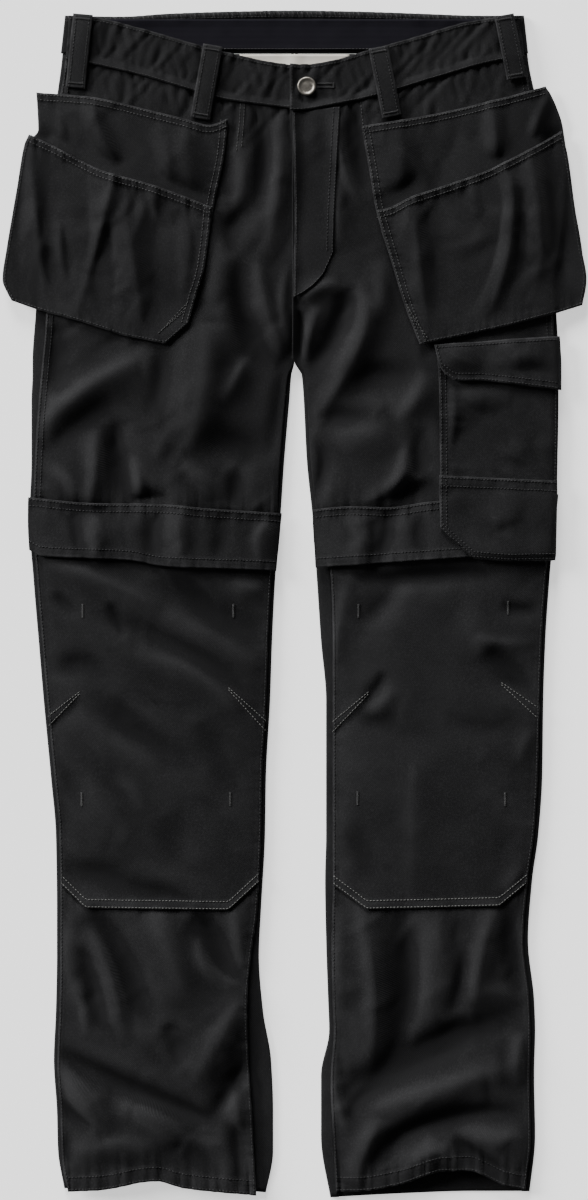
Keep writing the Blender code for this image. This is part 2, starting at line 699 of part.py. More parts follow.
def waist_button():
    """Metal button on the end of the left waistband: a turned disc with a raised rim."""
    x, d = BUTTON_PLACE
    radius = BUTTON_PROFILE[4][0]
    angles = np.linspace(0.0, 2.0 * math.pi, 16, endpoint=False)
    graph = bpy.context.evaluated_depsgraph_get()
    tree = BVHTree.FromObject(built["waistband_front_left"], graph)
    highest = 0.0
    for share in (0.0, 0.5, 1.0):
        for angle in angles:
            px = (x + share * radius * math.cos(angle)) * MM
            py = (LENGTH / 2 - d + share * radius * math.sin(angle)) * MM
            hit = tree.ray_cast(Vector((px, py, 0.2)), Vector((0.0, 0.0, -1.0)))[0]
            highest = max(highest, hit.z)
    points = [(r * MM, 0.0, z * MM) for r, z in BUTTON_PROFILE]
    edges = [(i, i + 1) for i in range(len(points) - 1)]
    mesh = bpy.data.meshes.new("waist_button")
    mesh.from_pydata(points, edges, [])
    piece = add_object("waist_button", mesh, finish_material("waist_button", STEEL, 0.42, 1.0))
    piece.location = (x * MM, (LENGTH / 2 - d) * MM, highest + 0.0003)
    turned = piece.modifiers.new("turned", "SCREW")
    turned.steps = BUTTON_STEPS
    turned.render_steps = BUTTON_STEPS
    turned.use_merge_vertices = True
    turned.merge_threshold = 0.00001
    turned.use_normal_calculate = True


def clear_scene():
    """Remove every object and start an empty collection for the garment."""
    for item in list(bpy.data.objects):
        bpy.data.objects.remove(item, do_unlink=True)
    collection = bpy.data.collections.new(OBJECT_NAME)
    bpy.context.scene.collection.children.link(collection)


def main():
    clear_scene()
    for side in SIGNS:
        back_panel(side)
    waistband_back()
    waistband_facing()
    waist_label()
    for side in SIGNS:
        front_panel(side)
        shin_panel(side)
        knee_panel(side)
        thigh_band(side)
    for side in SIGNS:
        waistband_front(side)
    fly()
    for loop in BELT_LOOPS:
        belt_loop(*loop)
    for side in SIGNS:
        holster_rear(side)
        holster_bag(side)
    cargo_body()
    cargo_flap()
    tool_pocket()
    waist_button()


main()
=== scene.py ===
"""Looks of the black canvas work trousers: fine cloth, creases, seams, stitching, metal and light.

Each piece of cloth is laid on the pieces below it in sewing order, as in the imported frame. Sizes
are in millimetres until a mesh is made. 'across' runs from the wearer's right to the wearer's
left, and 'down' runs from the top of the back waistband to the hems.
"""

import math

import bmesh
import bpy
import numpy as np
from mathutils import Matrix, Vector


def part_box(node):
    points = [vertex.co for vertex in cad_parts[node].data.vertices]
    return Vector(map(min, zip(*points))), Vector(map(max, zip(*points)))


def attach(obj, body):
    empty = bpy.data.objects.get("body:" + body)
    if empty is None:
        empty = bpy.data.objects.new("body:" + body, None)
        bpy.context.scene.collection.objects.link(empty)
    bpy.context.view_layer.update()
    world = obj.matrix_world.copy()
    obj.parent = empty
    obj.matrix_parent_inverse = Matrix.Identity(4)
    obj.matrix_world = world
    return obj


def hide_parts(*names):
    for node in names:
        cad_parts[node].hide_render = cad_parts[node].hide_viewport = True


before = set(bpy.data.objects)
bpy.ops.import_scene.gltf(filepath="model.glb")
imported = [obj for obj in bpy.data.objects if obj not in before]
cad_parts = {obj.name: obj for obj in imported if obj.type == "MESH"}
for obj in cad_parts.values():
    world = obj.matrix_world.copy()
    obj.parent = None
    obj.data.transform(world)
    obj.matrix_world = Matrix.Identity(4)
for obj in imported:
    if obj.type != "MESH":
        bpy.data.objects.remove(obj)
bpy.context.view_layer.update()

bl_info = {
    "name": "Work Trousers",
    "version": (1, 0, 0),
    "blender": (4, 5, 0),
    "location": "3D View > Sidebar > Trousers",
    "description": "Sews the visible cloth, stitching and button of a pair of laid work trousers",
    "category": "Object",
}

MM = 0.001
LENGTH = 1168.0
CROTCH = 346.0

CLOTH = 1.2
BAND_CLOTH = 2.4
BACK_BAND_CLOTH = 1.6
FACING_CLOTH = 0.8
LOOP_CLOTH = 2.0
HEM_CLOTH = 1.8
ROLL_RADIUS = 1.2
SEAT_SEAM_RADIUS = 0.9
BAND_ROLL_RADIUS = 1.5
SEAM_LAP = 3.0
PANEL_LAP = 6.0
CLEARANCE = 0.35
EDGE_HEIGHT = 3.9
CROWN = 6.6
CROWN_REACH = 38.0
FOLD_FADE = 11.0
LOWEST_UNDERSIDE = 1.7
BACK_BAND_SEAM = 42.0
LOOP_WIDTH = 19.0
POUCH_RISE = 2.4

# Walls thinner than their solids, so that the fly and the front waistband don't stand up as slabs.
FLY_WALL = 0.5 * CLOTH
FRONT_BAND_WALL = 0.45 * BAND_CLOTH

# The crown starts steeply: this share of it is reached within a few times this distance of an edge.
EDGE_SWELL = 0.26
EDGE_SWELL_REACH = 6.0

# Folds of the pockets: share of the tabled height; and, for each map, how far the ends of its folds
# are drawn out beyond their rows.
REAR_FOLD_SHARE = 1.2
BAG_FOLD_SHARE = 1.5
FRONT_FOLD_LONGER = 0.08
REAR_FOLD_LONGER = 0.3
BAG_FOLD_LONGER = 0.35

# Cloth above its blurred relief is greyed, partly as wear and partly as a painted highlight, and
# cloth below it is darkened as painted shade: share of grey for each millimetre, and the least and
# greatest share.
RIDGE_WEAR_AND_SHADE_SHARE = 0.22
CREASE_PAINTED_SHADE_LEAST = -0.25
RIDGE_WEAR_AND_HIGHLIGHT_MOST = 0.3

# A tucked edge dips by this depth, over this reach, under the piece that is sewn over it.
TUCK_DEPTH = 2.0
TUCK_REACH = 7.0

# The left front laps over the right one by this at the centre, so that no floor shows between them.
CENTRE_LAP = 2.6

# The free edge of a thigh band stands off the knee by this.
BAND_STANDS_OFF = 2.6

# The slant in a knee dart: a ridge along the dart's own line and a dip beside it.
DART_RIDGE = 0.9
DART_RIDGE_WIDTH = 4.5
DART_DIP = 1.1
DART_DIP_WIDTH = 4.0
DART_DIP_AWAY = 8.0
DART_FADE = 8.0

# Stitches: half a stitch as a share of the pitch, and how far its ends lie above the cloth.
STITCH_PITCH = 3.3
HALF_STITCH = 0.42
STITCH_LIFT = 0.1
TACK_PITCH = 0.9
TACK_LIFT = 0.15

# Lattice of the height maps, seen from above.
LATTICE = 1.5
LATTICE_ACROSS = -306.0
LATTICE_DOWN = -12.0
LATTICE_COLUMNS = 409
LATTICE_ROWS = 800

SIGNS = {"right": -1.0, "left": 1.0}

# down, outer edge, outer seam, inner edge, inner seam, as distances from the centre line
RIGHT_LEG = (
    (0, 225, 221, 0.2, 0.2), (48, 229, 225, 0.2, 0.2), (100, 236, 232, 0.2, 0.2),
    (206, 248, 241, 0.2, 0.2), (300, 255, 244, 0.2, 0.2), (346, 258, 248, 0.2, 0.2),
    (358, 258, 249, 3, 6), (383, 259, 251, 5, 9), (442, 259, 255, 10, 14),
    (501, 261, 257, 14, 18), (560, 257, 253, 19, 23), (620, 252, 248, 22, 26),
    (679, 247, 243, 24, 28), (753, 240, 236, 28, 32), (812, 235, 231, 29, 33),
    (886, 234, 230, 33, 37), (930, 234, 230, 35, 43), (984, 235, 231, 31, 47),
    (1033, 237, 233, 23, 45), (1083, 234, 230, 21, 42), (1122, 233, 229, 21, 40),
    (1166, 226, 222, 29, 38),
)
LEFT_LEG = (
    (0, 226, 222, 0.2, 0.2), (48, 230, 226, 0.2, 0.2), (107, 242, 238, 0.2, 0.2),
    (166, 249, 245, 0.2, 0.2), (226, 254, 250, 0.2, 0.2), (300, 258, 254, 0.2, 0.2),
    (346, 260, 256, 0.2, 0.2), (358, 260, 256, 7, 10), (383, 260, 256, 9, 13),
    (442, 259, 255, 12, 16), (501, 256, 252, 18, 23), (560, 251, 247, 22, 36),
    (620, 247, 243, 26, 38), (679, 245, 241, 31, 38), (753, 244, 239, 31, 38),
    (812, 240, 235, 31, 38), (856, 234, 229, 30, 38), (915, 230, 225, 31, 37),
    (974, 236, 231, 33, 38), (1004, 237, 232, 34, 39), (1048, 236, 231, 26, 36),
    (1107, 237, 232, 26, 38), (1166, 231, 226, 36, 41),
)
LEGS = {"right": RIGHT_LEG, "left": LEFT_LEG}

# across from the centre outwards, down
WAIST_TOP = {
    "right": ((0, 55), (22, 52), (55, 45), (91, 36), (146, 20), (195, 8), (226, 5)),
    "left": ((-6, 54), (12, 54), (39, 50), (63, 43), (119, 27), (176, 11), (226, 5)),
}
WAIST_SEAM = {
    "right": ((0, 98), (32, 94), (73, 88), (100, 80), (151, 65), (198, 54), (229, 48)),
    "left": ((-6, 100), (0, 100), (39, 94), (81, 85), (137, 68), (202, 50), (230, 46)),
}
BAND_SEAM = {
    "right": ((10, 495), (88, 490), (134, 486), (197, 485), (262, 479)),
    "left": ((10, 492), (55, 488), (89, 489), (139, 483), (202, 479), (260, 476)),
}
BAND_EDGE = {
    "right": ((10, 552), (28, 551), (129, 547), (163, 541), (248, 537), (262, 530)),
    "left": ((10, 549), (70, 545), (127, 541), (202, 537), (260, 537)),
}
KNEE_SEAM = {
    "right": ((30, 853), (65, 885), (205, 883), (233, 856)),
    "left": ((33, 856), (71, 884), (201, 881), (233, 855)),
}
FRONT_HEM = {
    "right": ((29, 1166), (74, 1162), (108, 1158), (136, 1151), (191, 1160), (226, 1162)),
    "left": ((36, 1162), (67, 1161), (101, 1155), (149, 1141), (170, 1141), (208, 1156), (232, 1161)),
}
BACK_HEM = {
    "right": ((29, 1163), (74, 1159), (136, 1149), (191, 1157), (226, 1159)),
    "left": ((36, 1168), (113, 1164), (173, 1162), (231, 1162)),
}
BACK_BAND_TOP = (
    (-226, 5), (-172, 6), (-123, 3), (-64, 1), (0, 0), (65, 1), (124, 3), (183, 5), (226, 5),
)

# Folds of the fronts, knees and shins: across and down at the start, the middle and the end; half
# width; height, which is negative in a trough; skew, from -1 to 1, which steepens one flank and
# eases the other; power, 2 for a round back and less for a crisper one.
LARGE_FOLDS = (
    # Beside the fly, on the wearer's right
    (-36, 96, -28, 150, -40, 196, 9, -3.6, 0.2, 2.0),
    (-40, 192, -62, 214, -60, 244, 9, -3.0, 0.0, 2.0),
    (-55, 246, -50, 305, -16, 352, 12, -4.6, 0.2, 2.0),
    (-20, 98, -15, 165, -31, 244, 10, 3.4, 0.2, 1.6),
    (-61, 122, -50, 162, -65, 208, 10, 3.0, 0.0, 1.7),
    (-72, 215, -71, 280, -62, 345, 19, 3.8, 0.3, 2.0),
    (-37, 244, -27, 292, -6, 346, 7, 3.4, 0.4, 1.4),
    (-6, 252, -12, 290, -5, 326, 5, 2.2, 0.3, 1.4),
    (-56, 84, -57, 110, -61, 140, 2.4, -1.5, 0.3, 1.8),
    (61, 84, 63, 110, 69, 138, 2.4, -1.5, 0.3, 1.8),
    (-4, 330, -10, 380, -22, 440, 10, -3.0, 0.0, 2.0),
    (4, 296, 5, 322, 1, 350, 6, -5.5, 0.2, 1.7),
    (-112, 300, -112, 440, -116, 620, 44, 3.2, 0.0, 2.0),
    (52, 640, 60, 760, 60, 860, 40, 2.2, 0.0, 2.0),
    # Beside and under the fly, on the wearer's left
    (49, 98, 45, 142, 67, 194, 6, 3.4, 0.3, 1.4),
    (40, 158, 43, 198, 42, 236, 8, 2.6, 0.0, 1.6),
    (58, 100, 62, 140, 72, 176, 8, -2.4, 0.0, 2.0),
    (80, 246, 85, 275, 82, 306, 9, 2.2, 0.0, 2.0),
    (6, 287, 22, 275, 44, 270, 8, 3.4, 0.0, 1.5),
    (48, 276, 44, 312, 6, 362, 12, -4.8, 0.0, 2.0),
    (24, 292, 14, 322, 9, 352, 6, 3.2, 0.4, 1.5),
    (55, 280, 68, 318, 18, 402, 12, 5.0, 0.3, 1.5),
    (48, 364, 85, 362, 120, 352, 17, -3.2, 0.0, 2.0),
    (98, 404, 117, 386, 127, 356, 11, 3.2, 0.0, 1.7),
    (104, 434, 104, 462, 66, 484, 9, 4.4, 0.5, 1.4),
    (76, 480, 110, 476, 140, 462, 11, -2.8, 0.3, 1.8),
    (20, 422, 28, 450, 14, 478, 7, -2.8, 0.0, 2.0),
    (40, 430, 62, 420, 92, 414, 18, 2.4, 0.0, 2.0),
    (30, 392, 52, 402, 84, 396, 11, -1.8, 0.0, 2.0),
    (122, 410, 124, 440, 122, 458, 10, -2.2, 0.0, 2.0),
    # The wearer's right thigh
    (-253, 420, -206, 374, -128, 334, 16, 5.8, 0.3, 1.6),
    (-251, 440, -214, 404, -178, 386, 13, -2.2, 0.3, 1.8),
    (-242, 312, -232, 345, -236, 380, 14, -3.0, 0.0, 2.0),
    (-196, 414, -195, 450, -200, 492, 10, 4.4, 0.4, 1.4),
    (-187, 410, -170, 446, -164, 486, 13, -4.2, 0.2, 1.8),
    (-160, 438, -152, 462, -149, 478, 6, 3.6, 0.4, 1.4),
    (-160, 484, -140, 479, -120, 486, 8, -3.2, 0.0, 1.8),
    (-95, 298, -88, 362, -106, 432, 23, 5.2, 0.4, 1.7),
    (-140, 328, -130, 362, -147, 404, 11, -2.6, 0.0, 2.0),
    (-72, 388, -57, 362, -48, 342, 9, 2.6, 0.0, 1.6),
    (-92, 418, -60, 428, -18, 432, 20, -3.6, 0.0, 2.0),
    (-236, 452, -222, 466, -214, 484, 7, 2.2, 0.0, 1.6),
    (-62, 452, -58, 470, -60, 488, 9, -2.4, 0.0, 2.0),
    (-112, 452, -92, 462, -82, 482, 9, 2.2, 0.0, 1.6),
    # The bands round the thighs
    (-128, 486, -138, 516, -130, 552, 11, -3.8, 0.3, 1.8),
    (-111, 488, -112, 520, -104, 554, 7, 3.0, 0.5, 1.3),
    (-200, 490, -195, 515, -197, 542, 7, 2.8, 0.3, 1.5),
    (-217, 496, -213, 515, -209, 536, 6, -2.0, 0.0, 1.8),
    (-24, 500, -34, 520, -30, 548, 7, 2.2, 0.0, 1.6),
    (-78, 498, -74, 520, -80, 546, 8, -1.6, 0.0, 2.0),
    (97, 488, 92, 515, 82, 546, 9, -3.0, 0.3, 1.8),
    (58, 492, 64, 520, 56, 548, 13, 2.8, 0.3, 1.7),
    (128, 496, 122, 515, 128, 540, 8, -1.8, 0.0, 2.0),
    # The wearer's right knee
    (-137, 554, -80, 590, -26, 620, 19, -4.4, 0.2, 2.0),
    (-247, 543, -190, 561, -134, 587, 10, 3.2, 0.3, 1.4),
    (-181, 583, -173, 600, -165, 614, 6, -3.6, 0.4, 1.6),
    (-172, 604, -128, 618, -56, 662, 14, -3.8, 0.2, 1.9),
    (-126, 590, -80, 620, -32, 646, 13, 3.6, 0.3, 1.6),
    (-156, 634, -94, 654, -56, 698, 9, 2.8, 0.3, 1.5),
    (-237, 656, -206, 643, -180, 670, 14, -3.8, 0.2, 1.9),
    (-186, 666, -150, 712, -90, 744, 16, -3.8, 0.2, 2.0),
    (-212, 690, -180, 718, -130, 742, 14, 2.6, 0.3, 1.7),
    (-240, 736, -222, 760, -204, 790, 9, -2.0, 0.0, 2.0),
    (-222, 770, -190, 790, -172, 836, 26, 3.4, 0.3, 2.0),
    (-238, 846, -190, 850, -150, 872, 15, -3.2, 0.2, 2.0),
    (-160, 866, -132, 868, -100, 882, 13, -3.0, 0.2, 2.0),
    (-176, 756, -158, 768, -148, 790, 8, 1.8, 0.0, 1.6),
    (-236, 572, -226, 584, -212, 592, 6, -2.2, 0.0, 1.8),
    (-126, 792, -120, 820, -122, 850, 16, -2.0, 0.0, 2.0),
    (-90, 700, -72, 742, -66, 790, 18, -2.2, 0.0, 2.0),
    (-60, 560, -44, 570, -26, 566, 8, 2.0, 0.0, 1.7),
    # The wearer's left knee
    (99, 558, 84, 586, 58, 606, 12, -3.6, 0.2, 1.8),
    (52, 560, 43, 612, 41, 664, 8, 2.8, 0.3, 1.5),
    (88, 650, 81, 668, 66, 682, 6, -3.4, 0.3, 1.7),
    (96, 664, 88, 682, 72, 694, 8, 2.2, 0.3, 1.5),
    (190, 626, 212, 648, 242, 676, 13, -3.8, 0.3, 1.7),
    (178, 616, 196, 622, 236, 622, 7, 2.2, 0.3, 1.5),
    (203, 583, 222, 590, 243, 588, 7, -2.6, 0.0, 1.8),
    (114, 716, 116, 790, 113, 884, 24, 4.0, 0.0, 1.3),
    (60, 560, 120, 556, 200, 552, 9, -3.4, 0.2, 2.0),
    (236, 706, 226, 722, 222, 742, 8, 1.8, 0.0, 1.6),
    (150, 694, 186, 704, 226, 700, 12, -2.0, 0.0, 2.0),
    (234, 838, 218, 852, 208, 872, 10, 2.4, 0.3, 1.6),
    (62, 690, 80, 700, 104, 698, 10, -2.0, 0.0, 2.0),
    (160, 590, 176, 612, 172, 640, 16, 2.0, 0.0, 2.0),
    (50, 806, 66, 830, 70, 862, 14, -2.2, 0.0, 2.0),
    # The wearer's right shin
    (-198, 884, -166, 934, -139, 996, 14, -5.2, 0.3, 1.8),
    (-204, 902, -180, 950, -167, 1014, 9, 3.6, 0.4, 1.5),
    (-210, 920, -196, 965, -190, 1004, 9, -2.6, 0.0, 1.9),
    (-142, 886, -122, 922, -108, 976, 16, 4.2, 0.3, 1.6),
    (-102, 890, -76, 914, -58, 954, 12, -4.0, 0.3, 1.8),
    (-94, 912, -84, 942, -52, 960, 8, 3.2, 0.4, 1.3),
    (-48, 960, -74, 1012, -106, 1060, 18, 5.2, 0.3, 1.6),
    (-47, 1026, -62, 1060, -84, 1094, 9, -3.8, 0.3, 1.7),
    (-238, 1022, -160, 1060, -58, 1102, 13, -6.0, 0.3, 1.8),
    (-237, 1036, -206, 1072, -184, 1104, 12, 5.0, 0.4, 1.4),
    (-238, 1066, -216, 1086, -198, 1100, 7, -3.0, 0.3, 1.8),
    (-172, 1078, -134, 1090, -116, 1116, 14, 4.2, 0.4, 1.4),
    (-226, 1132, -176, 1114, -128, 1126, 12, 2.6, 0.0, 1.8),
    (-66, 1052, -56, 1078, -52, 1104, 7, 3.0, 0.4, 1.4),
    (-59, 1094, -55, 1122, -53, 1158, 7, -3.0, 0.3, 1.8),
    (-230, 1104, -226, 1120, -222, 1136, 7, -2.6, 0.0, 1.8),
    (-232, 890, -224, 920, -226, 956, 12, 2.6, 0.3, 1.7),
    (-216, 960, -206, 985, -204, 1010, 5, 1.8, 0.3, 1.5),
    (-110, 1120, -90, 1130, -70, 1146, 18, -2.4, 0.0, 2.0),
    (-60, 884, -54, 912, -50, 944, 8, 2.6, 0.3, 1.6),
    (-128, 1000, -116, 1016, -110, 1036, 10, -2.0, 0.0, 2.0),
    # The wearer's left shin
    (58, 876, 77, 950, 74, 1046, 15, 5.4, 0.4, 1.4),
    (97, 880, 114, 960, 86, 1036, 15, -5.4, 0.3, 1.8),
    (198, 880, 184, 930, 178, 976, 12, 5.0, 0.4, 1.4),
    (167, 926, 163, 960, 150, 990, 8, -2.6, 0.0, 1.9),
    (40, 1080, 128, 1022, 236, 986, 20, -6.4, 0.3, 2.0),
    (62, 1086, 140, 1062, 228, 1034, 14, 3.6, 0.3, 1.7),
    (66, 1144, 130, 1094, 228, 1086, 11, -5.0, 0.3, 1.8),
    (84, 1090, 72, 1118, 60, 1154, 12, 4.6, 0.4, 1.4),
    (106, 1146, 136, 1122, 152, 1138, 10, 3.8, 0.3, 1.6),
    (154, 1112, 180, 1124, 208, 1152, 10, -3.6, 0.3, 1.8),
    (162, 1106, 200, 1112, 228, 1100, 14, 3.0, 0.3, 1.7),
    (36, 1098, 41, 1130, 42, 1158, 7, -3.0, 0.3, 1.8),
    (224, 1006, 221, 1030, 224, 1056, 6, 2.6, 0.3, 1.5),
    (126, 886, 136, 930, 124, 990, 16, 2.4, 0.0, 2.0),
    (36, 1046, 44, 1074, 52, 1104, 6, 3.0, 0.4, 1.4),
    (212, 880, 218, 930, 226, 980, 12, -3.0, 0.2, 2.0),
    (44, 884, 42, 940, 44, 1010, 7, 2.4, 0.3, 1.6),
)
REAR_FOLDS = (
    (-197, 94, -191, 120, -170, 152, 9, 4.4, 0.4, 1.4),
    (-216, 108, -208, 130, -196, 152, 10, -3.0, 0.2, 2.0),
    (-168, 100, -156, 130, -138, 168, 14, -3.6, 0.2, 1.9),
    (-109, 112, -106, 150, -99, 188, 19, 3.6, 0.3, 1.7),
    (-230, 104, -226, 126, -214, 142, 7, 2.4, 0.2, 1.6),
    (-130, 120, -124, 150, -122, 182, 8, 1.8, 0.3, 1.5),
    (97, 116, 105, 150, 99, 190, 15, 3.4, 0.3, 1.6),
    (165, 100, 173, 135, 169, 168, 14, -4.2, 0.2, 1.8),
    (191, 92, 197, 120, 201, 152, 9, 4.2, 0.3, 1.5),
    (224, 92, 220, 115, 211, 142, 9, -3.8, 0.3, 1.8),
    (249, 86, 241, 105, 234, 128, 6, 2.6, 0.3, 1.5),
    (134, 108, 138, 135, 134, 165, 12, -1.6, 0.0, 2.0),
    # Slack of the rear layers along the mouths of the bags
    (-262, 118, -200, 146, -150, 164, 9, -3.6, 0.2, 1.8),
    (-160, 160, -120, 174, -78, 196, 10, -4.4, 0.2, 1.8),
    (84, 192, 130, 170, 178, 160, 9, -4.0, 0.2, 1.8),
    (165, 162, 210, 146, 262, 120, 9, -3.4, 0.2, 1.8),
)
BAG_FOLDS = (
    (-264, 138, -271, 200, -269, 288, 8, -3.0, 0.2, 1.8),
    (-263, 134, -253, 205, -245, 292, 9, 5.0, 0.4, 1.4),
    (-229, 208, -229, 235, -226, 262, 5, 2.0, 0.3, 1.4),
    (-216, 156, -213, 200, -205, 254, 14, -4.8, 0.3, 1.8),
    (-180, 164, -189, 216, -213, 294, 7, 3.6, 0.5, 1.3),
    (-189, 212, -183, 250, -181, 304, 10, -3.6, 0.3, 1.8),
    (-167, 196, -156, 260, -147, 324, 13, 3.6, 0.4, 1.5),
    (-129, 202, -123, 255, -122, 316, 13, -4.2, 0.3, 1.8),
    (-102, 214, -104, 250, -112, 296, 8, 2.2, 0.3, 1.6),
    (-240, 240, -236, 262, -226, 290, 9, -1.8, 0.0, 2.0),
    (117, 192, 122, 250, 133, 328, 12, 4.6, 0.5, 1.4),
    (150, 188, 160, 240, 150, 304, 22, -3.6, 0.2, 2.0),
    (187, 160, 198, 222, 158, 304, 9, -4.2, 0.3, 1.7),
    (203, 158, 213, 222, 188, 296, 9, 3.8, 0.4, 1.5),
    (227, 144, 241, 200, 239, 266, 12, 4.2, 0.4, 1.5),
    (265, 144, 261, 220, 249, 286, 5, 2.6, 0.4, 1.3),
    (264, 214, 260, 268, 244, 294, 11, -2.6, 0.2, 1.9),
    (218, 186, 222, 222, 220, 262, 8, -2.2, 0.2, 1.9),
    # The flap, the cargo pocket and the tool pocket
    (148, 336, 162, 344, 178, 350, 9, 2.4, 0.3, 1.5),
    (176, 338, 190, 350, 200, 362, 6, -2.0, 0.2, 1.7),
    (208, 332, 222, 340, 238, 344, 9, 1.8, 0.3, 1.6),
    (216, 356, 232, 352, 250, 360, 6, -1.6, 0.2, 1.7),
    (154, 434, 190, 418, 218, 396, 15, -2.6, 0.2, 2.0),
    (226, 376, 241, 396, 242, 430, 7, -2.8, 0.3, 1.8),
    (156, 392, 176, 384, 204, 386, 12, 1.8, 0.2, 2.0),
    (152, 440, 156, 400, 154, 372, 5, 1.6, 0.3, 1.6),
    (162, 478, 168, 500, 176, 522, 13, -1.8, 0.2, 2.0),
    (206, 478, 212, 500, 208, 528, 16, 1.6, 0.2, 2.0),
    (240, 484, 238, 505, 242, 532, 7, -1.8, 0.2, 1.8),
)

# Small creases, scattered from a seed: how many, seed, region (least and greatest across, least and
# greatest down), directions in degrees, least and greatest half width, least and greatest height.
FRONT_CREASES = (
    (110, 11, (-250, -12, 100, 540), (90, 125, 140, 150), (3, 8), (0.3, 0.8)),
    (110, 12, (12, 250, 100, 540), (70, 90, 118, 160), (3, 8), (0.3, 0.8)),
    (60, 13, (-245, -25, 560, 870), (25, 40, 50, 95), (3, 8), (0.2, 0.6)),
    (40, 14, (30, 240, 560, 870), (90, 130, 150, 10), (3, 8), (0.2, 0.5)),
    (70, 15, (-235, -35, 890, 1155), (30, 50, 75, 130), (3, 8), (0.2, 0.7)),
    (70, 16, (35, 235, 890, 1155), (85, 150, 160, 120), (3, 8), (0.2, 0.7)),
)
POCKET_CREASES = (
    (60, 21, (-275, -95, 150, 310), (70, 95, 110), (3, 6), (0.3, 0.8)),
    (60, 22, (95, 275, 140, 310), (70, 85, 110), (3, 6), (0.3, 0.8)),
    (60, 23, (140, 255, 325, 535), (20, 70, 110, 150), (3, 7), (0.2, 0.6)),
)

# Edges of the pockets and of the fly. Outer and inner edges are down, distance from the centre line;
# top and low edges are distance from the centre line, down.
HOLSTER_REAR = {
    "right": {
        "outer": ((80, 254), (117, 252), (132, 264), (176, 272), (265, 284), (284, 275)),
        "inner": ((105, 65), (138, 68), (188, 78), (253, 89), (309, 105)),
        "top": ((65, 108), (84, 114), (105, 109), (132, 102), (202, 86), (254, 81)),
        "low": ((105, 306), (128, 325), (167, 317), (237, 294), (284, 281)),
    },
    "left": {
        "outer": ((75, 247), (94, 257), (115, 264), (162, 270), (265, 285), (290, 281)),
        "inner": ((117, 66), (156, 73), (198, 80), (265, 101), (330, 124)),
        "top": ((66, 115), (79, 113), (117, 107), (161, 98), (205, 87), (247, 75)),
        "low": ((124, 326), (135, 323), (179, 314), (214, 306), (285, 286)),
    },
}
HOLSTER_BAG = {
    "right": {
        "outer": ((120, 259), (132, 265), (176, 273), (235, 283), (265, 287), (286, 278)),
        "inner": ((195, 81), (253, 88), (284, 97), (309, 104)),
        "top": ((81, 195), (114, 182), (149, 170), (186, 160), (211, 148), (237, 134), (262, 122)),
        "low": ((104, 309), (127, 329), (167, 321), (206, 308), (255, 294), (286, 283)),
    },
    "left": {
        "outer": ((119, 263), (147, 269), (191, 275), (235, 282), (265, 287), (290, 283)),
        "inner": ((198, 80), (235, 91), (265, 100), (291, 108), (330, 123)),
        "top": ((80, 198), (91, 196), (117, 184), (152, 172), (188, 159), (223, 142), (263, 119)),
        "low": ((123, 330), (135, 327), (179, 318), (214, 310), (258, 298), (287, 289)),
    },
}
CARGO_BODY = {
    "outer": ((322, 259), (458, 258), (540, 255)),
    "inner": ((326, 139), (376, 142), (458, 143), (510, 146), (540, 172)),
    "top": ((139, 334), (259, 324)),
    "low": ((143, 507), (171, 536), (255, 538)),
}
CARGO_FLAP = {
    "outer": ((320, 260), (350, 262), (374, 262)),
    "inner": ((330, 137), (352, 143), (366, 156)),
    "top": ((137, 330), (260, 321)),
    "low": ((137, 338), (143, 354), (156, 365), (183, 365), (220, 369), (262, 374)),
}
TOOL_POCKET = {
    "outer": ((462, 258), (541, 256)),
    "inner": ((458, 142), (509, 143), (539, 171)),
    "top": ((142, 458), (258, 463)),
    "low": ((143, 509), (171, 539), (211, 542), (256, 541)),
}
FLY = {
    "outer": ((96, 45), (147, 42), (206, 39), (284, 37)),
    "inner": ((96, -2), (137, -1), (245, -1), (284, -1)),
    "top": ((-3, 102), (45, 96)),
    "low": ((-2, 284), (8, 279), (18, 272), (28, 261), (37, 240), (39, 236)),
}
# Belt loops: node, across and down of the top end, across and down of the low end
BELT_LOOPS = (
    ("belt_loop_side_right", -207.5, 5.0, -215.0, 77.0),
    ("belt_loop_front_right", -80.0, 36.0, -92.5, 108.0),
    ("belt_loop_front_left", 82.0, 38.0, 95.5, 106.0),
    ("belt_loop_side_left", 205.5, 6.0, 218.0, 68.0),
)

# Profile of the button's shell, from the middle of its face to the middle of its underside: share of
# the radius, height above its seat.
BUTTON_PROFILE = (
    (0.0, 2.25), (0.2, 2.2), (0.4, 2.1), (0.58, 2.05), (0.66, 2.2), (0.72, 2.6), (0.8, 2.95),
    (0.88, 3.05), (0.94, 2.9), (0.98, 2.5), (1.0, 2.0), (1.0, 0.8), (0.97, 0.3), (0.9, 0.0), (0.0, 0.0),
)

# Darts at the knees: tip, then the two ends at the side seam, as across and down.
DARTS = (
    (-211, 670, -243, 695, -242, 704),
    (-65, 666, -28, 699, -28, 709),
    (73, 670, 37, 700, 37, 710),
    (203, 661, 241, 687, 241, 698),
)
KNEE_TACKS = (
    (-208, 591), (-60, 591), (-63, 776), (-209, 776), (63, 591), (210, 588), (62, 775), (207, 776),
)


# Reading tables and placing grids

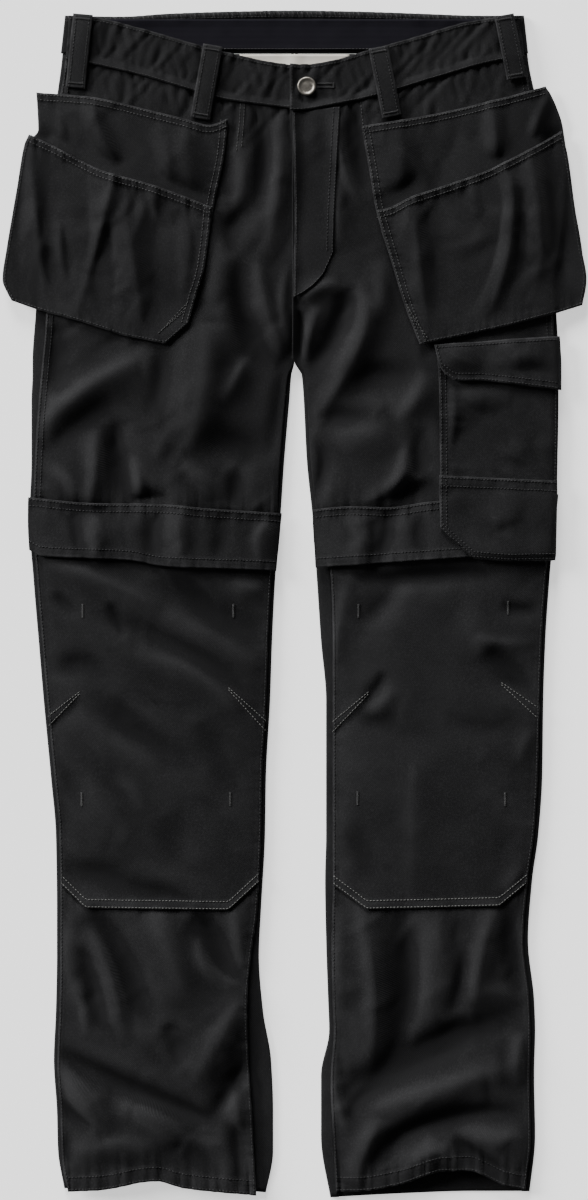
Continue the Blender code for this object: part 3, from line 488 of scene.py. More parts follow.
def smooth(table, at, column=1):
    """Read a column of a table at the given places, with a curve that keeps between its rows."""
    rows = np.array(table, dtype=float)
    places = rows[:, 0]
    values = rows[:, column]
    gaps = np.diff(places)
    slopes = np.diff(values) / gaps
    product = slopes[:-1] * slopes[1:]
    total = np.where(product > 0, slopes[:-1] + slopes[1:], 1.0)
    middle = np.where(product > 0, 2.0 * product / total, 0.0)
    tangents = np.concatenate([slopes[:1], middle, slopes[-1:]])
    at = np.asarray(at, dtype=float)
    row = np.clip(np.searchsorted(places, at, side="right") - 1, 0, len(places) - 2)
    gap = gaps[row]
    t = np.clip((at - places[row]) / gap, 0.0, 1.0)
    rise = (3.0 - 2.0 * t) * t * t
    start_pull = t * (1.0 - t) ** 2 * gap * tangents[row]
    end_pull = t * t * (t - 1.0) * gap * tangents[row + 1]
    return values[row] * (1.0 - rise) + values[row + 1] * rise + start_pull + end_pull


def straight(table, at):
    """Read a table of corners at the given places, with straight runs between them."""
    rows = np.array(table, dtype=float)
    return np.interp(at, rows[:, 0], rows[:, 1])


def leg_edge(side, column):
    """An edge or seam of one leg as a function of the place down the garment."""
    return lambda down: smooth(LEGS[side], down, column)


def pocket_edges(table):
    """Outer, inner, top and low edge of a pocket as functions. The low edge keeps its corners."""
    return (lambda at: smooth(table["outer"], at), lambda at: smooth(table["inner"], at),
            lambda at: smooth(table["top"], at), lambda at: straight(table["low"], at))


def cross_seam(table, side, shift=0.0):
    """A cross seam of one side as a function of the distance from the centre line."""
    return lambda reach: smooth(table[side], reach) + shift


def graded(length, cell, first_fine=0.0, last_fine=0.0, fine=1.4):
    """Fractions along a length in cells, with finer ones over a stretch at each end."""
    marks = [np.linspace(0.0, first_fine, max(1, round(first_fine / fine)) + 1)]
    middle = length - first_fine - last_fine
    marks.append(first_fine + np.linspace(0.0, middle, max(2, round(middle / cell)) + 1))
    marks.append(length - np.linspace(last_fine, 0.0, max(1, round(last_fine / fine)) + 1))
    return np.unique(np.round(np.concatenate(marks), 4)) / length


def place_grid(side, outer, inner, top, low, columns, rows):
    """Points of a grid between four edges.

    A point's reach is a blend of the inner and outer edges at its place down, and its place down
    is a blend of the top and low edges at its reach, worked out in turn until they agree.
    """
    u, v = np.meshgrid(columns, rows)
    reach = np.full(u.shape, 100.0)
    for _ in range(14):
        down = top(reach) * (1.0 - v) + low(reach) * v
        reach = inner(down) * (1.0 - u) + outer(down) * u
    return SIGNS[side] * reach, down


# Height maps: one number for each place of a lattice seen from above

def lattice():
    """Across and down of every place of the lattice."""
    across = LATTICE_ACROSS + LATTICE * np.arange(LATTICE_COLUMNS)
    down = LATTICE_DOWN + LATTICE * np.arange(LATTICE_ROWS)
    return np.meshgrid(across, down)


def read_map(values, across, down):
    """Read a height map between its places, weighting the four nearest."""
    column = np.clip((across - LATTICE_ACROSS) / LATTICE, 0, LATTICE_COLUMNS - 1.001)
    row = np.clip((down - LATTICE_DOWN) / LATTICE, 0, LATTICE_ROWS - 1.001)
    c = column.astype(int)
    r = row.astype(int)
    s = column - c
    t = row - r
    upper = values[r, c] * (1 - s) + values[r, c + 1] * s
    lower = values[r + 1, c] * (1 - s) + values[r + 1, c + 1] * s
    return upper * (1 - t) + lower * t


def add_fold(values, fold, scale=1.0, longer=0.0):
    """Add one ridge or trough to a map: a bell across a curve, fading to nothing at its ends.

    The curve is a parabola through the row's three points. The height at a place is the row's
    height times e to the minus of (distance from the curve / width) to the row's power, times a
    parabola that is one at the curve's middle and nothing at its ends, to the power 1.15. Skew
    widens one side of the bell and narrows the other. longer draws both ends out by that share of
    the way from the middle.
    """
    x0, d0, xm, dm, x1, d1, width, height, skew, power = fold
    start = np.array((x0, d0), dtype=float)
    end = np.array((x1, d1), dtype=float)
    middle = np.array((xm, dm), dtype=float)
    start = start + longer * (start - middle)
    end = end + longer * (end - middle)
    pull = 2.0 * middle - 0.5 * (start + end)
    reach = 3.6 * width
    low = np.minimum(np.minimum(start, end), pull) - reach
    high = np.maximum(np.maximum(start, end), pull) + reach
    c0, c1 = np.clip(((np.array((low[0], high[0])) - LATTICE_ACROSS) / LATTICE).astype(int),
                     0, LATTICE_COLUMNS)
    r0, r1 = np.clip(((np.array((low[1], high[1])) - LATTICE_DOWN) / LATTICE).astype(int),
                     0, LATTICE_ROWS)
    across, down = np.meshgrid(LATTICE_ACROSS + LATTICE * np.arange(c0, c1),
                               LATTICE_DOWN + LATTICE * np.arange(r0, r1))
    best = np.full(across.shape, np.inf)
    place = np.zeros_like(across)
    side = np.zeros_like(across)
    steps = 10
    for step in range(steps):
        t0 = step / steps
        t1 = (step + 1) / steps
        a = (1 - t0) ** 2 * start + 2 * t0 * (1 - t0) * pull + t0 * t0 * end
        b = (1 - t1) ** 2 * start + 2 * t1 * (1 - t1) * pull + t1 * t1 * end
        run = b - a
        k = ((across - a[0]) * run[0] + (down - a[1]) * run[1]) / (run @ run)
        k = np.clip(k, 0.0, 1.0)
        off_x = across - a[0] - k * run[0]
        off_d = down - a[1] - k * run[1]
        distance = off_x ** 2 + off_d ** 2
        nearer = distance < best
        best = np.where(nearer, distance, best)
        place = np.where(nearer, t0 + k * (t1 - t0), place)
        side = np.where(nearer, np.sign(off_x * run[1] - off_d * run[0]), side)
    reach = width * (1.0 - 0.55 * skew * side)
    fade = (1.0 - (2.0 * place - 1.0) ** 2) ** 1.15
    values[r0:r1, c0:c1] += scale * height * np.exp(-(best / reach ** 2) ** (0.5 * power)) * fade


def spread_highest(values, reach):
    """Give each place the highest value within a reach of it, by rows and then by columns."""
    count = round(reach / LATTICE)
    for axis in (0, 1):
        highest = values.copy()
        for shift in range(1, count + 1):
            highest = np.maximum(highest, np.roll(values, shift, axis))
            highest = np.maximum(highest, np.roll(values, -shift, axis))
        values = highest
    return values


def blurred(values, reach):
    """Average over a square of the given reach, twice, which leaves a soft slope."""
    count = round(reach / LATTICE)
    for axis in (0, 1, 0, 1):
        total = values.copy()
        for shift in range(1, count + 1):
            total = total + np.roll(values, shift, axis) + np.roll(values, -shift, axis)
        values = total / (2 * count + 1)
    return values


def wander(along, seed, waves=(6.0, 9.0, 14.0, 27.0)):
    """An uneven wave between about -1 and 1: sines of several lengths with seeded starts."""
    random = np.random.default_rng(seed)
    total = np.zeros_like(along)
    for length in waves:
        stretch = length * random.uniform(0.85, 1.2)
        total = total + np.sin(along * 2.0 * math.pi / stretch + random.uniform(0.0, 6.28))
    return total / (0.75 * len(waves))


def small_creases(count, seed, region, directions, widths, heights):
    """Seeded rows for short creases inside a region, near the given directions in degrees."""
    random = np.random.default_rng(seed)
    rows = []
    for _ in range(count):
        x = random.uniform(region[0], region[1])
        d = random.uniform(region[2], region[3])
        angle = math.radians(random.choice(directions) + random.normal(0.0, 16.0))
        length = random.uniform(16.0, 58.0)
        dx = 0.5 * length * math.cos(angle)
        dd = 0.5 * length * math.sin(angle)
        bow = random.normal(0.0, 0.12) * length
        height = random.choice((-1.0, 1.0)) * random.uniform(heights[0], heights[1])
        rows.append((x - dx, d - dd, x - bow * math.sin(angle), d + bow * math.cos(angle),
                     x + dx, d + dd, random.uniform(widths[0], widths[1]), height,
                     random.uniform(-0.8, 0.8), random.uniform(1.2, 1.9)))
    return rows


def scattered(table):
    """The rows of small creases that a table of seeded patches gives, in its order."""
    return tuple(row for patch in table for row in small_creases(*patch))


class Heights:
    """The maps that every piece is laid by: the fronts' relief, the pockets' folds, the top."""

    def prepare(self, fold_depth):
        """Work out the relief of the fronts and of the pockets, and start the top at the floor.

        The relief of the fronts is the height of an edge, plus a crown that rises exponentially
        from the outer and inner edges of each leg, plus the folds, which fade out at the edges and
        are shallower on the doubled knees. It is eased off above the lowest underside.
        """
        across, down = lattice()
        reach = np.abs(across)
        left = across > 0
        outer = np.where(left, smooth(LEFT_LEG, down, 1), smooth(RIGHT_LEG, down, 1))
        inner = np.where(left, smooth(LEFT_LEG, down, 3), smooth(RIGHT_LEG, down, 3))
        from_outer = np.maximum(outer - reach, 0.0)
        from_inner = np.maximum(reach - inner, 0.0) + np.maximum(CROTCH - down, 0.0)
        swell = (1.0 - np.exp(-from_outer / CROWN_REACH)) * (1.0 - np.exp(-from_inner / CROWN_REACH))
        outer_rise = 1.0 - np.exp(-from_outer / EDGE_SWELL_REACH)
        inner_rise = 1.0 - np.exp(-from_inner / EDGE_SWELL_REACH)
        swell = swell + EDGE_SWELL * outer_rise * inner_rise
        nearest = np.minimum(from_outer, from_inner)
        folds = np.zeros_like(across)
        for fold in LARGE_FOLDS + scattered(FRONT_CREASES):
            add_fold(folds, fold, fold_depth, FRONT_FOLD_LONGER)
        fade = 1.0 - np.exp(-(nearest / FOLD_FADE) ** 2)
        doubled = 1.0 / (1.0 + np.exp((np.abs(down - 715.0) - 150.0) / 12.0))
        folds = folds * (1.0 - 0.35 * doubled)
        above = EDGE_HEIGHT + CROWN * swell + fade * folds - LOWEST_UNDERSIDE
        self.body = LOWEST_UNDERSIDE + np.log1p(np.exp(np.minimum(above, 30.0)))
        self.plain = blurred(EDGE_HEIGHT + CROWN * swell + 0.5 * fade * folds, 9.0)
        # Height above the blurred relief: ridges come out lighter, partly as wear and partly as painted
        # highlight, and troughs darker, as painted shade.
        self.relief_wear_and_shade = self.body - blurred(self.body, 12.0)
        self.rear = np.zeros_like(across)
        self.bag = np.zeros_like(across)
        for fold in REAR_FOLDS:
            add_fold(self.rear, fold, REAR_FOLD_SHARE * fold_depth, REAR_FOLD_LONGER)
        for fold in BAG_FOLDS + scattered(POCKET_CREASES):
            add_fold(self.bag, fold, BAG_FOLD_SHARE * fold_depth, BAG_FOLD_LONGER)
        self.top = np.zeros_like(across)

    def body_at(self, across, down):
        """Height of the underside of the fronts."""
        return read_map(self.body, across, down)

    def cover(self, across, down, height):
        """Raise the top map to a grid of points, filling in between them."""
        steps = 4
        for i in range(steps):
            for j in range(steps):
                s = i / steps
                t = j / steps
                parts = []
                for values in (across, down, height):
                    upper = values[:-1, :-1] * (1 - t) + values[:-1, 1:] * t
                    lower = values[1:, :-1] * (1 - t) + values[1:, 1:] * t
                    parts.append(upper * (1 - s) + lower * s)
                column = np.round((parts[0] - LATTICE_ACROSS) / LATTICE).astype(int)
                row = np.round((parts[1] - LATTICE_DOWN) / LATTICE).astype(int)
                np.maximum.at(self.top, (row, column), parts[2])

    def settle(self, across, down, wanted, ease=0.8):
        """Underside of a new piece: as wanted, and eased up to clear what lies below it.

        What lies below is the highest surface near each place, blurred, plus the clearance. The
        result is a soft maximum of the two: need + ease * log(1 + e ^ ((wanted - need) / ease)).
        """
        softened = blurred(spread_highest(self.top, 3.0), 3.0)
        need = read_map(softened, across, down) + CLEARANCE
        above = (wanted - need) / ease
        return need + ease * np.where(above > 20.0, above, np.log1p(np.exp(np.minimum(above, 20.0))))


heights = Heights()
stitch_rows = []


# Materials

def linear(code):
    """Turn an sRGB hex value into linear red, green and blue."""
    channels = [int(code[i:i + 2], 16) / 255.0 for i in (1, 3, 5)]
    return tuple(c / 12.92 if c <= 0.04045 else ((c + 0.055) / 1.055) ** 2.4 for c in channels)


def add_node(tree, kind, settings=None, values=None, links=None):
    """Add a node, set its properties and input values, and link its inputs."""
    node = tree.nodes.new(kind)
    for name, value in (settings or {}).items():
        setattr(node, name, value)
    for name, value in (values or {}).items():
        node.inputs[name].default_value = value
    for name, source in (links or {}).items():
        tree.links.new(source, node.inputs[name])
    return node


def start_material(name, values):
    """A new material with one Principled shader and its constant settings."""
    material = bpy.data.materials.new(name)
    material.use_nodes = True
    tree = material.node_tree
    shader = tree.nodes["Principled BSDF"]
    for socket, value in values.items():
        shader.inputs[socket].default_value = value
    return material, tree, shader


def washed_canvas(name, deep, faded_and_highlight, twill_mm, relief):
    """Piece-dyed cotton canvas, washed: near-black, matt, with a fine diagonal twill.

    Cloudy fading from washing gives the eye soft patches; the wear and shade map greys hems and seams
    where the dye has come off, greys raised folds as wear and painted highlight, and darkens troughs as
    painted shade; lint gives a faint sheen at a flat glance.
    """
    material, tree, shader = start_material(name, {
        "Roughness": 0.85, "IOR": 1.5, "Specular IOR Level": 0.12,
        "Sheen Weight": 0.02, "Sheen Roughness": 0.4})
    place = add_node(tree, "ShaderNodeTexCoord").outputs["Object"]
    clouds = add_node(tree, "ShaderNodeTexNoise", values={"Scale": 17.0, "Detail": 5.0, "Roughness": 0.6},
                      links={"Vector": place})
    slubs = add_node(tree, "ShaderNodeTexNoise", values={"Scale": 620.0, "Detail": 2.0},
                     links={"Vector": place})
    twill = add_node(tree, "ShaderNodeTexWave",
                     {"wave_type": "BANDS", "bands_direction": "DIAGONAL", "wave_profile": "SIN"},
                     {"Scale": 0.444 / (twill_mm * MM), "Distortion": 1.1, "Detail": 1.0,
                      "Detail Scale": 1.6}, {"Vector": place})
    # The wear and shade layer: edge wear, plus ridges lightened as painted highlight and troughs darkened as
    # painted shade.
    wear_and_shade = add_node(tree, "ShaderNodeAttribute", {"attribute_name": "wear_and_shade"}).outputs["Fac"]
    cloud_share = add_node(tree, "ShaderNodeMapRange", values={
        "From Min": 0.35, "From Max": 0.75, "To Min": 0.0, "To Max": 0.30},
        links={"Value": clouds.outputs["Fac"]})
    slub_share = add_node(tree, "ShaderNodeMapRange", values={
        "From Min": 0.45, "From Max": 0.8, "To Min": 0.0, "To Max": 0.35},
        links={"Value": slubs.outputs["Fac"]})
    first = add_node(tree, "ShaderNodeMath", {"operation": "ADD"}, links={
        0: cloud_share.outputs["Result"], 1: slub_share.outputs["Result"]})
    total = add_node(tree, "ShaderNodeMath", {"operation": "ADD", "use_clamp": True}, links={
        0: first.outputs["Value"], 1: wear_and_shade})
    colour = add_node(tree, "ShaderNodeMix", {"data_type": "RGBA"}, links={0: total.outputs["Value"]})
    colour.inputs[6].default_value = (*linear(deep), 1.0)
    colour.inputs[7].default_value = (*linear(faded_and_highlight), 1.0)
    tree.links.new(colour.outputs[2], shader.inputs["Base Color"])
    grain = add_node(tree, "ShaderNodeMix", {"data_type": "FLOAT"}, {0: 0.45}, {
        2: twill.outputs["Fac"], 3: slubs.outputs["Fac"]})
    bump = add_node(tree, "ShaderNodeBump", values={"Strength": relief, "Distance": 0.0006},
                    links={"Height": grain.outputs[0]})
    tree.links.new(bump.outputs["Normal"], shader.inputs["Normal"])
    return material


def woven_tape(name, colour, deep_colour, rib_mm):
    """Smooth woven facing or tape: narrow ribs that follow its length and a low, even lustre."""
    material, tree, shader = start_material(name, {
        "Roughness": 0.8, "IOR": 1.5, "Specular IOR Level": 0.06})
    place = add_node(tree, "ShaderNodeTexCoord").outputs["Object"]
    ribs = add_node(tree, "ShaderNodeTexWave", {"wave_type": "BANDS", "bands_direction": "Y"},
                    {"Scale": 0.314 / (rib_mm * MM), "Distortion": 0.6}, {"Vector": place})
    mottle = add_node(tree, "ShaderNodeTexNoise", values={"Scale": 60.0, "Detail": 4.0},
                      links={"Vector": place})
    mix = add_node(tree, "ShaderNodeMix", {"data_type": "RGBA"}, links={0: mottle.outputs["Fac"]})
    mix.inputs[6].default_value = (*linear(deep_colour), 1.0)
    mix.inputs[7].default_value = (*linear(colour), 1.0)
    tree.links.new(mix.outputs[2], shader.inputs["Base Color"])
    bump = add_node(tree, "ShaderNodeBump", values={"Strength": 0.35, "Distance": 0.0003},
                    links={"Height": ribs.outputs["Fac"]})
    tree.links.new(bump.outputs["Normal"], shader.inputs["Normal"])
    return material


def spun_thread(name, colour):
    """Spun polyester-cotton thread, two plies: a soft body with a slight gloss on each stitch."""
    material, tree, shader = start_material(name, {
        "Roughness": 0.6, "IOR": 1.5, "Specular IOR Level": 0.35})
    place = add_node(tree, "ShaderNodeTexCoord").outputs["Object"]
    fleck = add_node(tree, "ShaderNodeTexNoise", values={"Scale": 900.0}, links={"Vector": place})
    mix = add_node(tree, "ShaderNodeMix", {"data_type": "RGBA"}, links={0: fleck.outputs["Fac"]})
    base = linear(colour)
    mix.inputs[6].default_value = (*[0.6 * c for c in base], 1.0)
    mix.inputs[7].default_value = (*[1.3 * c for c in base], 1.0)
    tree.links.new(mix.outputs[2], shader.inputs["Base Color"])
    return material


def aged_steel(name, colour, dark):
    """Stamped steel, plated and rubbed: a soft silver-grey face, darker in its hollows."""
    material, tree, shader = start_material(name, {"Metallic": 1.0, "Roughness": 0.42})
    place = add_node(tree, "ShaderNodeTexCoord").outputs["Object"]
    patina = add_node(tree, "ShaderNodeTexNoise", values={"Scale": 420.0, "Detail": 5.0},
                      links={"Vector": place})
    mix = add_node(tree, "ShaderNodeMix", {"data_type": "RGBA"}, links={0: patina.outputs["Fac"]})
    mix.inputs[6].default_value = (*linear(dark), 1.0)
    mix.inputs[7].default_value = (*linear(colour), 1.0)
    tree.links.new(mix.outputs[2], shader.inputs["Base Color"])
    rough = add_node(tree, "ShaderNodeMapRange", values={"To Min": 0.34, "To Max": 0.55},
                     links={"Value": patina.outputs["Fac"]})
    tree.links.new(rough.outputs["Result"], shader.inputs["Roughness"])
    return material


def white_board(name, darker, lighter, glow):
    """Matt white paint on smooth board: an even pale ground with faint clouds and no reflections.

    A little light of its own keeps it pale where the lights come in low.
    """
    material, tree, shader = start_material(name, {"Roughness": 0.9, "Specular IOR Level": 0.1})
    place = add_node(tree, "ShaderNodeTexCoord").outputs["Object"]
    cloud = add_node(tree, "ShaderNodeTexNoise", values={"Scale": 3.0}, links={"Vector": place})
    mix = add_node(tree, "ShaderNodeMix", {"data_type": "RGBA"}, links={0: cloud.outputs["Fac"]})
    mix.inputs[6].default_value = (darker, darker, darker, 1.0)
    mix.inputs[7].default_value = (lighter, lighter, lighter, 1.0)
    tree.links.new(mix.outputs[2], shader.inputs["Base Color"])
    shader.inputs["Emission Color"].default_value = (1.0, 1.0, 1.0, 1.0)
    shader.inputs["Emission Strength"].default_value = glow
    return material


# Making cloth

def grid_mesh(name, across, down, height):
    """A mesh of quads over a grid of points, its faces upwards."""
    rows, columns = across.shape
    points = np.stack([across * MM, (LENGTH / 2 - down) * MM, height * MM], axis=-1).reshape(-1, 3)
    index = np.arange(rows * columns).reshape(rows, columns)
    corners = [index[:-1, :-1], index[1:, :-1], index[1:, 1:], index[:-1, 1:]]
    middle = across[rows // 2]
    if middle[0] > middle[-1]:
        corners.reverse()
    faces = np.stack(corners, axis=-1).reshape(-1, 4)
    mesh = bpy.data.meshes.new(name)
    mesh.from_pydata(points.tolist(), [], faces.tolist())
    mesh.shade_smooth()
    return mesh


def close_shell(mesh):
    """Merge a turned shell's seam and poles and point its faces outwards."""
    work = bmesh.new()
    work.from_mesh(mesh)
    bmesh.ops.remove_doubles(work, verts=work.verts, dist=0.00001)
    bmesh.ops.recalc_face_normals(work, faces=work.faces)
    work.to_mesh(mesh)
    work.free()
    mesh.shade_smooth()


def finish_cloth(name, node, across, down, height, thickness, material, wear_and_shade=None,
                 offset=1.0):
    """Turn a grid into a wall of cloth that stands for a node, and hide that node's part."""
    mesh = grid_mesh(name, across, down, height)
    values = np.zeros(across.size) if wear_and_shade is None else wear_and_shade.reshape(-1)
    # Per-point layer of edge wear, with the relief's painted highlight on ridges and painted shade in
    # troughs.
    layer = mesh.attributes.new("wear_and_shade", "FLOAT", "POINT")
    layer.data.foreach_set("value", np.clip(values, -0.4, 1.0).astype(np.float32))
    piece = bpy.data.objects.new(name, mesh)
    bpy.context.scene.collection.objects.link(piece)
    mesh.materials.append(bpy.data.materials[material])
    wall = piece.modifiers.new("wall", "SOLIDIFY")
    wall.thickness = thickness * MM
    wall.offset = offset
    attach(piece, "root")
    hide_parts(node)
    return piece


def edge_distances(across, down):
    """Distance of each point of a grid from its top, low, first and last edges."""
    return {
        "top": np.abs(down - down[:1]),
        "low": np.abs(down[-1:] - down),
        "first": np.abs(across - across[:, :1]),
        "last": np.abs(across[:, -1:] - across),
    }


def hem_rise(distance, width, rise):
    """A turned hem: a step of one more layer over the hem's width, pinched at its stitching."""
    t = np.clip((width + 1.2 - distance) / 2.4, 0.0, 1.0)
    step = rise * t * t * (3.0 - 2.0 * t)
    return step - 0.35 * rise * np.exp(-((distance - width + 1.6) / 1.3) ** 2)


def gather(distance, along, reach, size, seed):
    """Puckers beside a seam: an uneven wave along it, times a bell over the distance from it."""
    return size * np.exp(-(distance / reach) ** 2) * wander(along, seed)


def crumple(across, down, seed, size):
    """Small folds of eased-in cloth: slanted uneven waves in several directions, in patches."""
    random = np.random.default_rng(seed)
    total = np.zeros_like(across)
    for number, slant in enumerate((0.3, -0.35, 0.9)):
        wave = wander(across + slant * down, seed * 3 + number, (10.0, 15.0, 24.0, 44.0))
        patch = np.sin(across / random.uniform(9.0, 16.0) + down / random.uniform(6.0, 11.0)
                       + random.uniform(0.0, 6.28))
        total = total + wave * (0.5 + 0.5 * patch)
    return size * total


def sew(name, node, across, down, wanted, thickness, hems=(), gathers=(), worn_edges=(), seed=1,
        material="washed_black_canvas",
        wear=0.5, tucked=()):
    """Lay a piece of cloth: add hems and puckers, clear what is below, note edges that wear grey, and
    tone it by its relief: lighter on ridges, as wear and painted highlight, darker in troughs, as painted
    shade.

    hems are (edge, width, rise), gathers are (edge, reach, size), worn_edges and tucked are edge
    names; a tucked edge dips under the piece that is sewn over it.
    """
    away = edge_distances(across, down)
    along = {"top": across, "low": across, "first": down, "last": down}
    height = wanted.copy()
    for edge, width, rise in hems:
        height = height + hem_rise(away[edge], width, rise)
    for number, (edge, reach, size) in enumerate(gathers):
        height = height + gather(away[edge], along[edge], reach, size, seed * 10 + number)
    for edge in tucked:
        height = height - TUCK_DEPTH * np.exp(-(away[edge] / TUCK_REACH) ** 2)
    height = heights.settle(across, down, height)
    wear_and_shade = np.zeros_like(across)
    for number, edge in enumerate(worn_edges):
        patches = 0.55 + 0.45 * wander(along[edge], seed * 7 + number, (13.0, 31.0, 67.0))
        wear_and_shade = np.maximum(wear_and_shade, np.clip(patches, 0.1, 1.0) * np.exp(-(away[edge] / 2.2) ** 2))
    # Tone from the relief: lighter on ridges, as wear and painted highlight, darker in troughs, as painted
    # shade.
    relief_wear_and_shade = RIDGE_WEAR_AND_SHADE_SHARE * read_map(heights.relief_wear_and_shade, across, down)
    ridge_wear_and_crease_shade = np.clip(relief_wear_and_shade, CREASE_PAINTED_SHADE_LEAST, RIDGE_WEAR_AND_HIGHLIGHT_MOST)
    piece = finish_cloth(name, node, across, down, height, thickness, material,
                         wear_and_shade * wear + ridge_wear_and_crease_shade)
    heights.cover(across, down, height + thickness)
    return piece


def stitch_line(across, down, tone="dark", pitch=STITCH_PITCH):
    """Note a row of stitches along a path, one each pitch, at the present top of the cloth."""
    across = np.asarray(across, dtype=float)
    down = np.asarray(down, dtype=float)
    run = np.concatenate([[0.0], np.cumsum(np.hypot(np.diff(across), np.diff(down)))])
    count = max(1, int(run[-1] / pitch))
    at = (np.arange(count) + 0.5) * run[-1] / count
    half = HALF_STITCH * pitch
    ends = []
    for shift in (-half, half):
        x = np.interp(at + shift, run, across)
        d = np.interp(at + shift, run, down)
        ends.append(np.stack([x, d, read_map(heights.top, x, d) + STITCH_LIFT], axis=-1))
    stitch_rows.append((tone, ends[0], ends[1]))


def tack(across, down, length, width, tone="middle", lean=0.0):
    """Note a bar tack: short crosswise stitches packed along a line."""
    places = np.arange(0.0, length, TACK_PITCH) - 0.5 * length
    x = across + places * math.sin(lean)
    d = down + places * math.cos(lean)
    ends = []
    for sign in (-0.5, 0.5):
        ex = x + sign * width * math.cos(lean)
        ed = d - sign * width * math.sin(lean)
        ends.append(np.stack([ex, ed, read_map(heights.top, ex, ed) + TACK_LIFT], axis=-1))
    stitch_rows.append((tone, ends[0], ends[1]))


def parallel_row(across, down, edge, inset):
    """Path on a grid at a given distance inside one of its edges."""
    if edge in ("top", "low"):
        line_x = across[0] if edge == "top" else across[-1]
        line_d = down[0] + inset if edge == "top" else down[-1] - inset
    else:
        sign = np.sign(across[:, -1] - across[:, 0])
        line_x = across[:, 0] + sign * inset if edge == "first" else across[:, -1] - sign * inset
        line_d = down[:, 0] if edge == "first" else down[:, -1]
    return line_x, line_d


def sew_rows(across, down, rows, tone="dark"):
    """Stitch along the edges of a grid: rows are (edge, inset)."""
    for edge, inset in rows:
        line_x, line_d = parallel_row(across, down, edge, inset)
        stitch_line(line_x, line_d, tone)


# Property groups

class TrouserSizes(bpy.types.PropertyGroup):
    """Sizes that a user would change."""

    cell: bpy.props.FloatProperty(
        name="Cell", description="Distance between the points of the large panels",
        default=0.003, min=0.002, unit="LENGTH")
    fine_cell: bpy.props.FloatProperty(
        name="Fine cell", description="Distance between the points of bands and pockets",
        default=0.0022, min=0.001, unit="LENGTH")
    fold_depth: bpy.props.FloatProperty(
        name="Fold depth", description="Share of the tabled height that each fold of the fronts has",
        default=1.65, min=0.0, max=3.0, subtype="FACTOR")
    twill: bpy.props.FloatProperty(
        name="Twill spacing",
        description="Distance between the twill lines, drawn at three times the real one to show",
        default=0.0015, unit="LENGTH")
    button_radius: bpy.props.FloatProperty(
        name="Button radius", description="Radius of the waist button",
        default=0.0092, unit="LENGTH")
    thread_radius: bpy.props.FloatProperty(
        name="Thread radius", description="Radius of a stitch of topstitching thread",
        default=0.00042, unit="LENGTH")


class TrouserColours(bpy.types.PropertyGroup):
    """Colours as sRGB hex values."""

    canvas: bpy.props.StringProperty(
        name="Canvas", description="Washed black of the cloth", default="#131314")
    # This grey is also the painted highlight on raised folds.
    faded_and_highlight: bpy.props.StringProperty(
        name="Faded", description="Grey of rubbed hems and of the lighter patches", default="#303031")
    facing: bpy.props.StringProperty(
        name="Facing", description="Inner facing of the waistband", default="#1a191f")
    tape: bpy.props.StringProperty(
        name="Tape", description="Plain strip under the facing", default="#dedad2")
    grey_thread: bpy.props.StringProperty(
        name="Grey thread", description="Thread of the knee seams and darts", default="#5f5f5d")
    middle_thread: bpy.props.StringProperty(
        name="Middle thread", description="Thread of the pocket hems and bar tacks", default="#333333")
    dark_thread: bpy.props.StringProperty(
        name="Dark thread", description="Thread of the other seams", default="#1f1f20")
    button: bpy.props.StringProperty(
        name="Button", description="Rubbed face of the metal button", default="#a39e96")


# Operators

class TROUSERS_OT_materials(bpy.types.Operator):
    """Make the cloth, tape, thread and metal finishes and work out the height maps"""

    bl_idname = "trousers.materials"
    bl_label = "Finishes and relief"

    def execute(self, context):
        sizes = context.scene.trouser_sizes
        colours = context.scene.trouser_colours
        heights.prepare(sizes.fold_depth)
        washed_canvas("washed_black_canvas", colours.canvas, colours.faded_and_highlight, sizes.twill / MM, 0.5)
        woven_tape("woven_dark_facing", colours.facing, "#121116", 1.2)
        woven_tape("woven_cotton_tape", colours.tape, "#c9c2b4", 0.9)
        for tone in ("grey", "middle", "dark"):
            spun_thread(tone + "_topstitch_thread", getattr(colours, tone + "_thread"))
        aged_steel("rubbed_steel", colours.button, "#6e6a63")
        return {"FINISHED"}


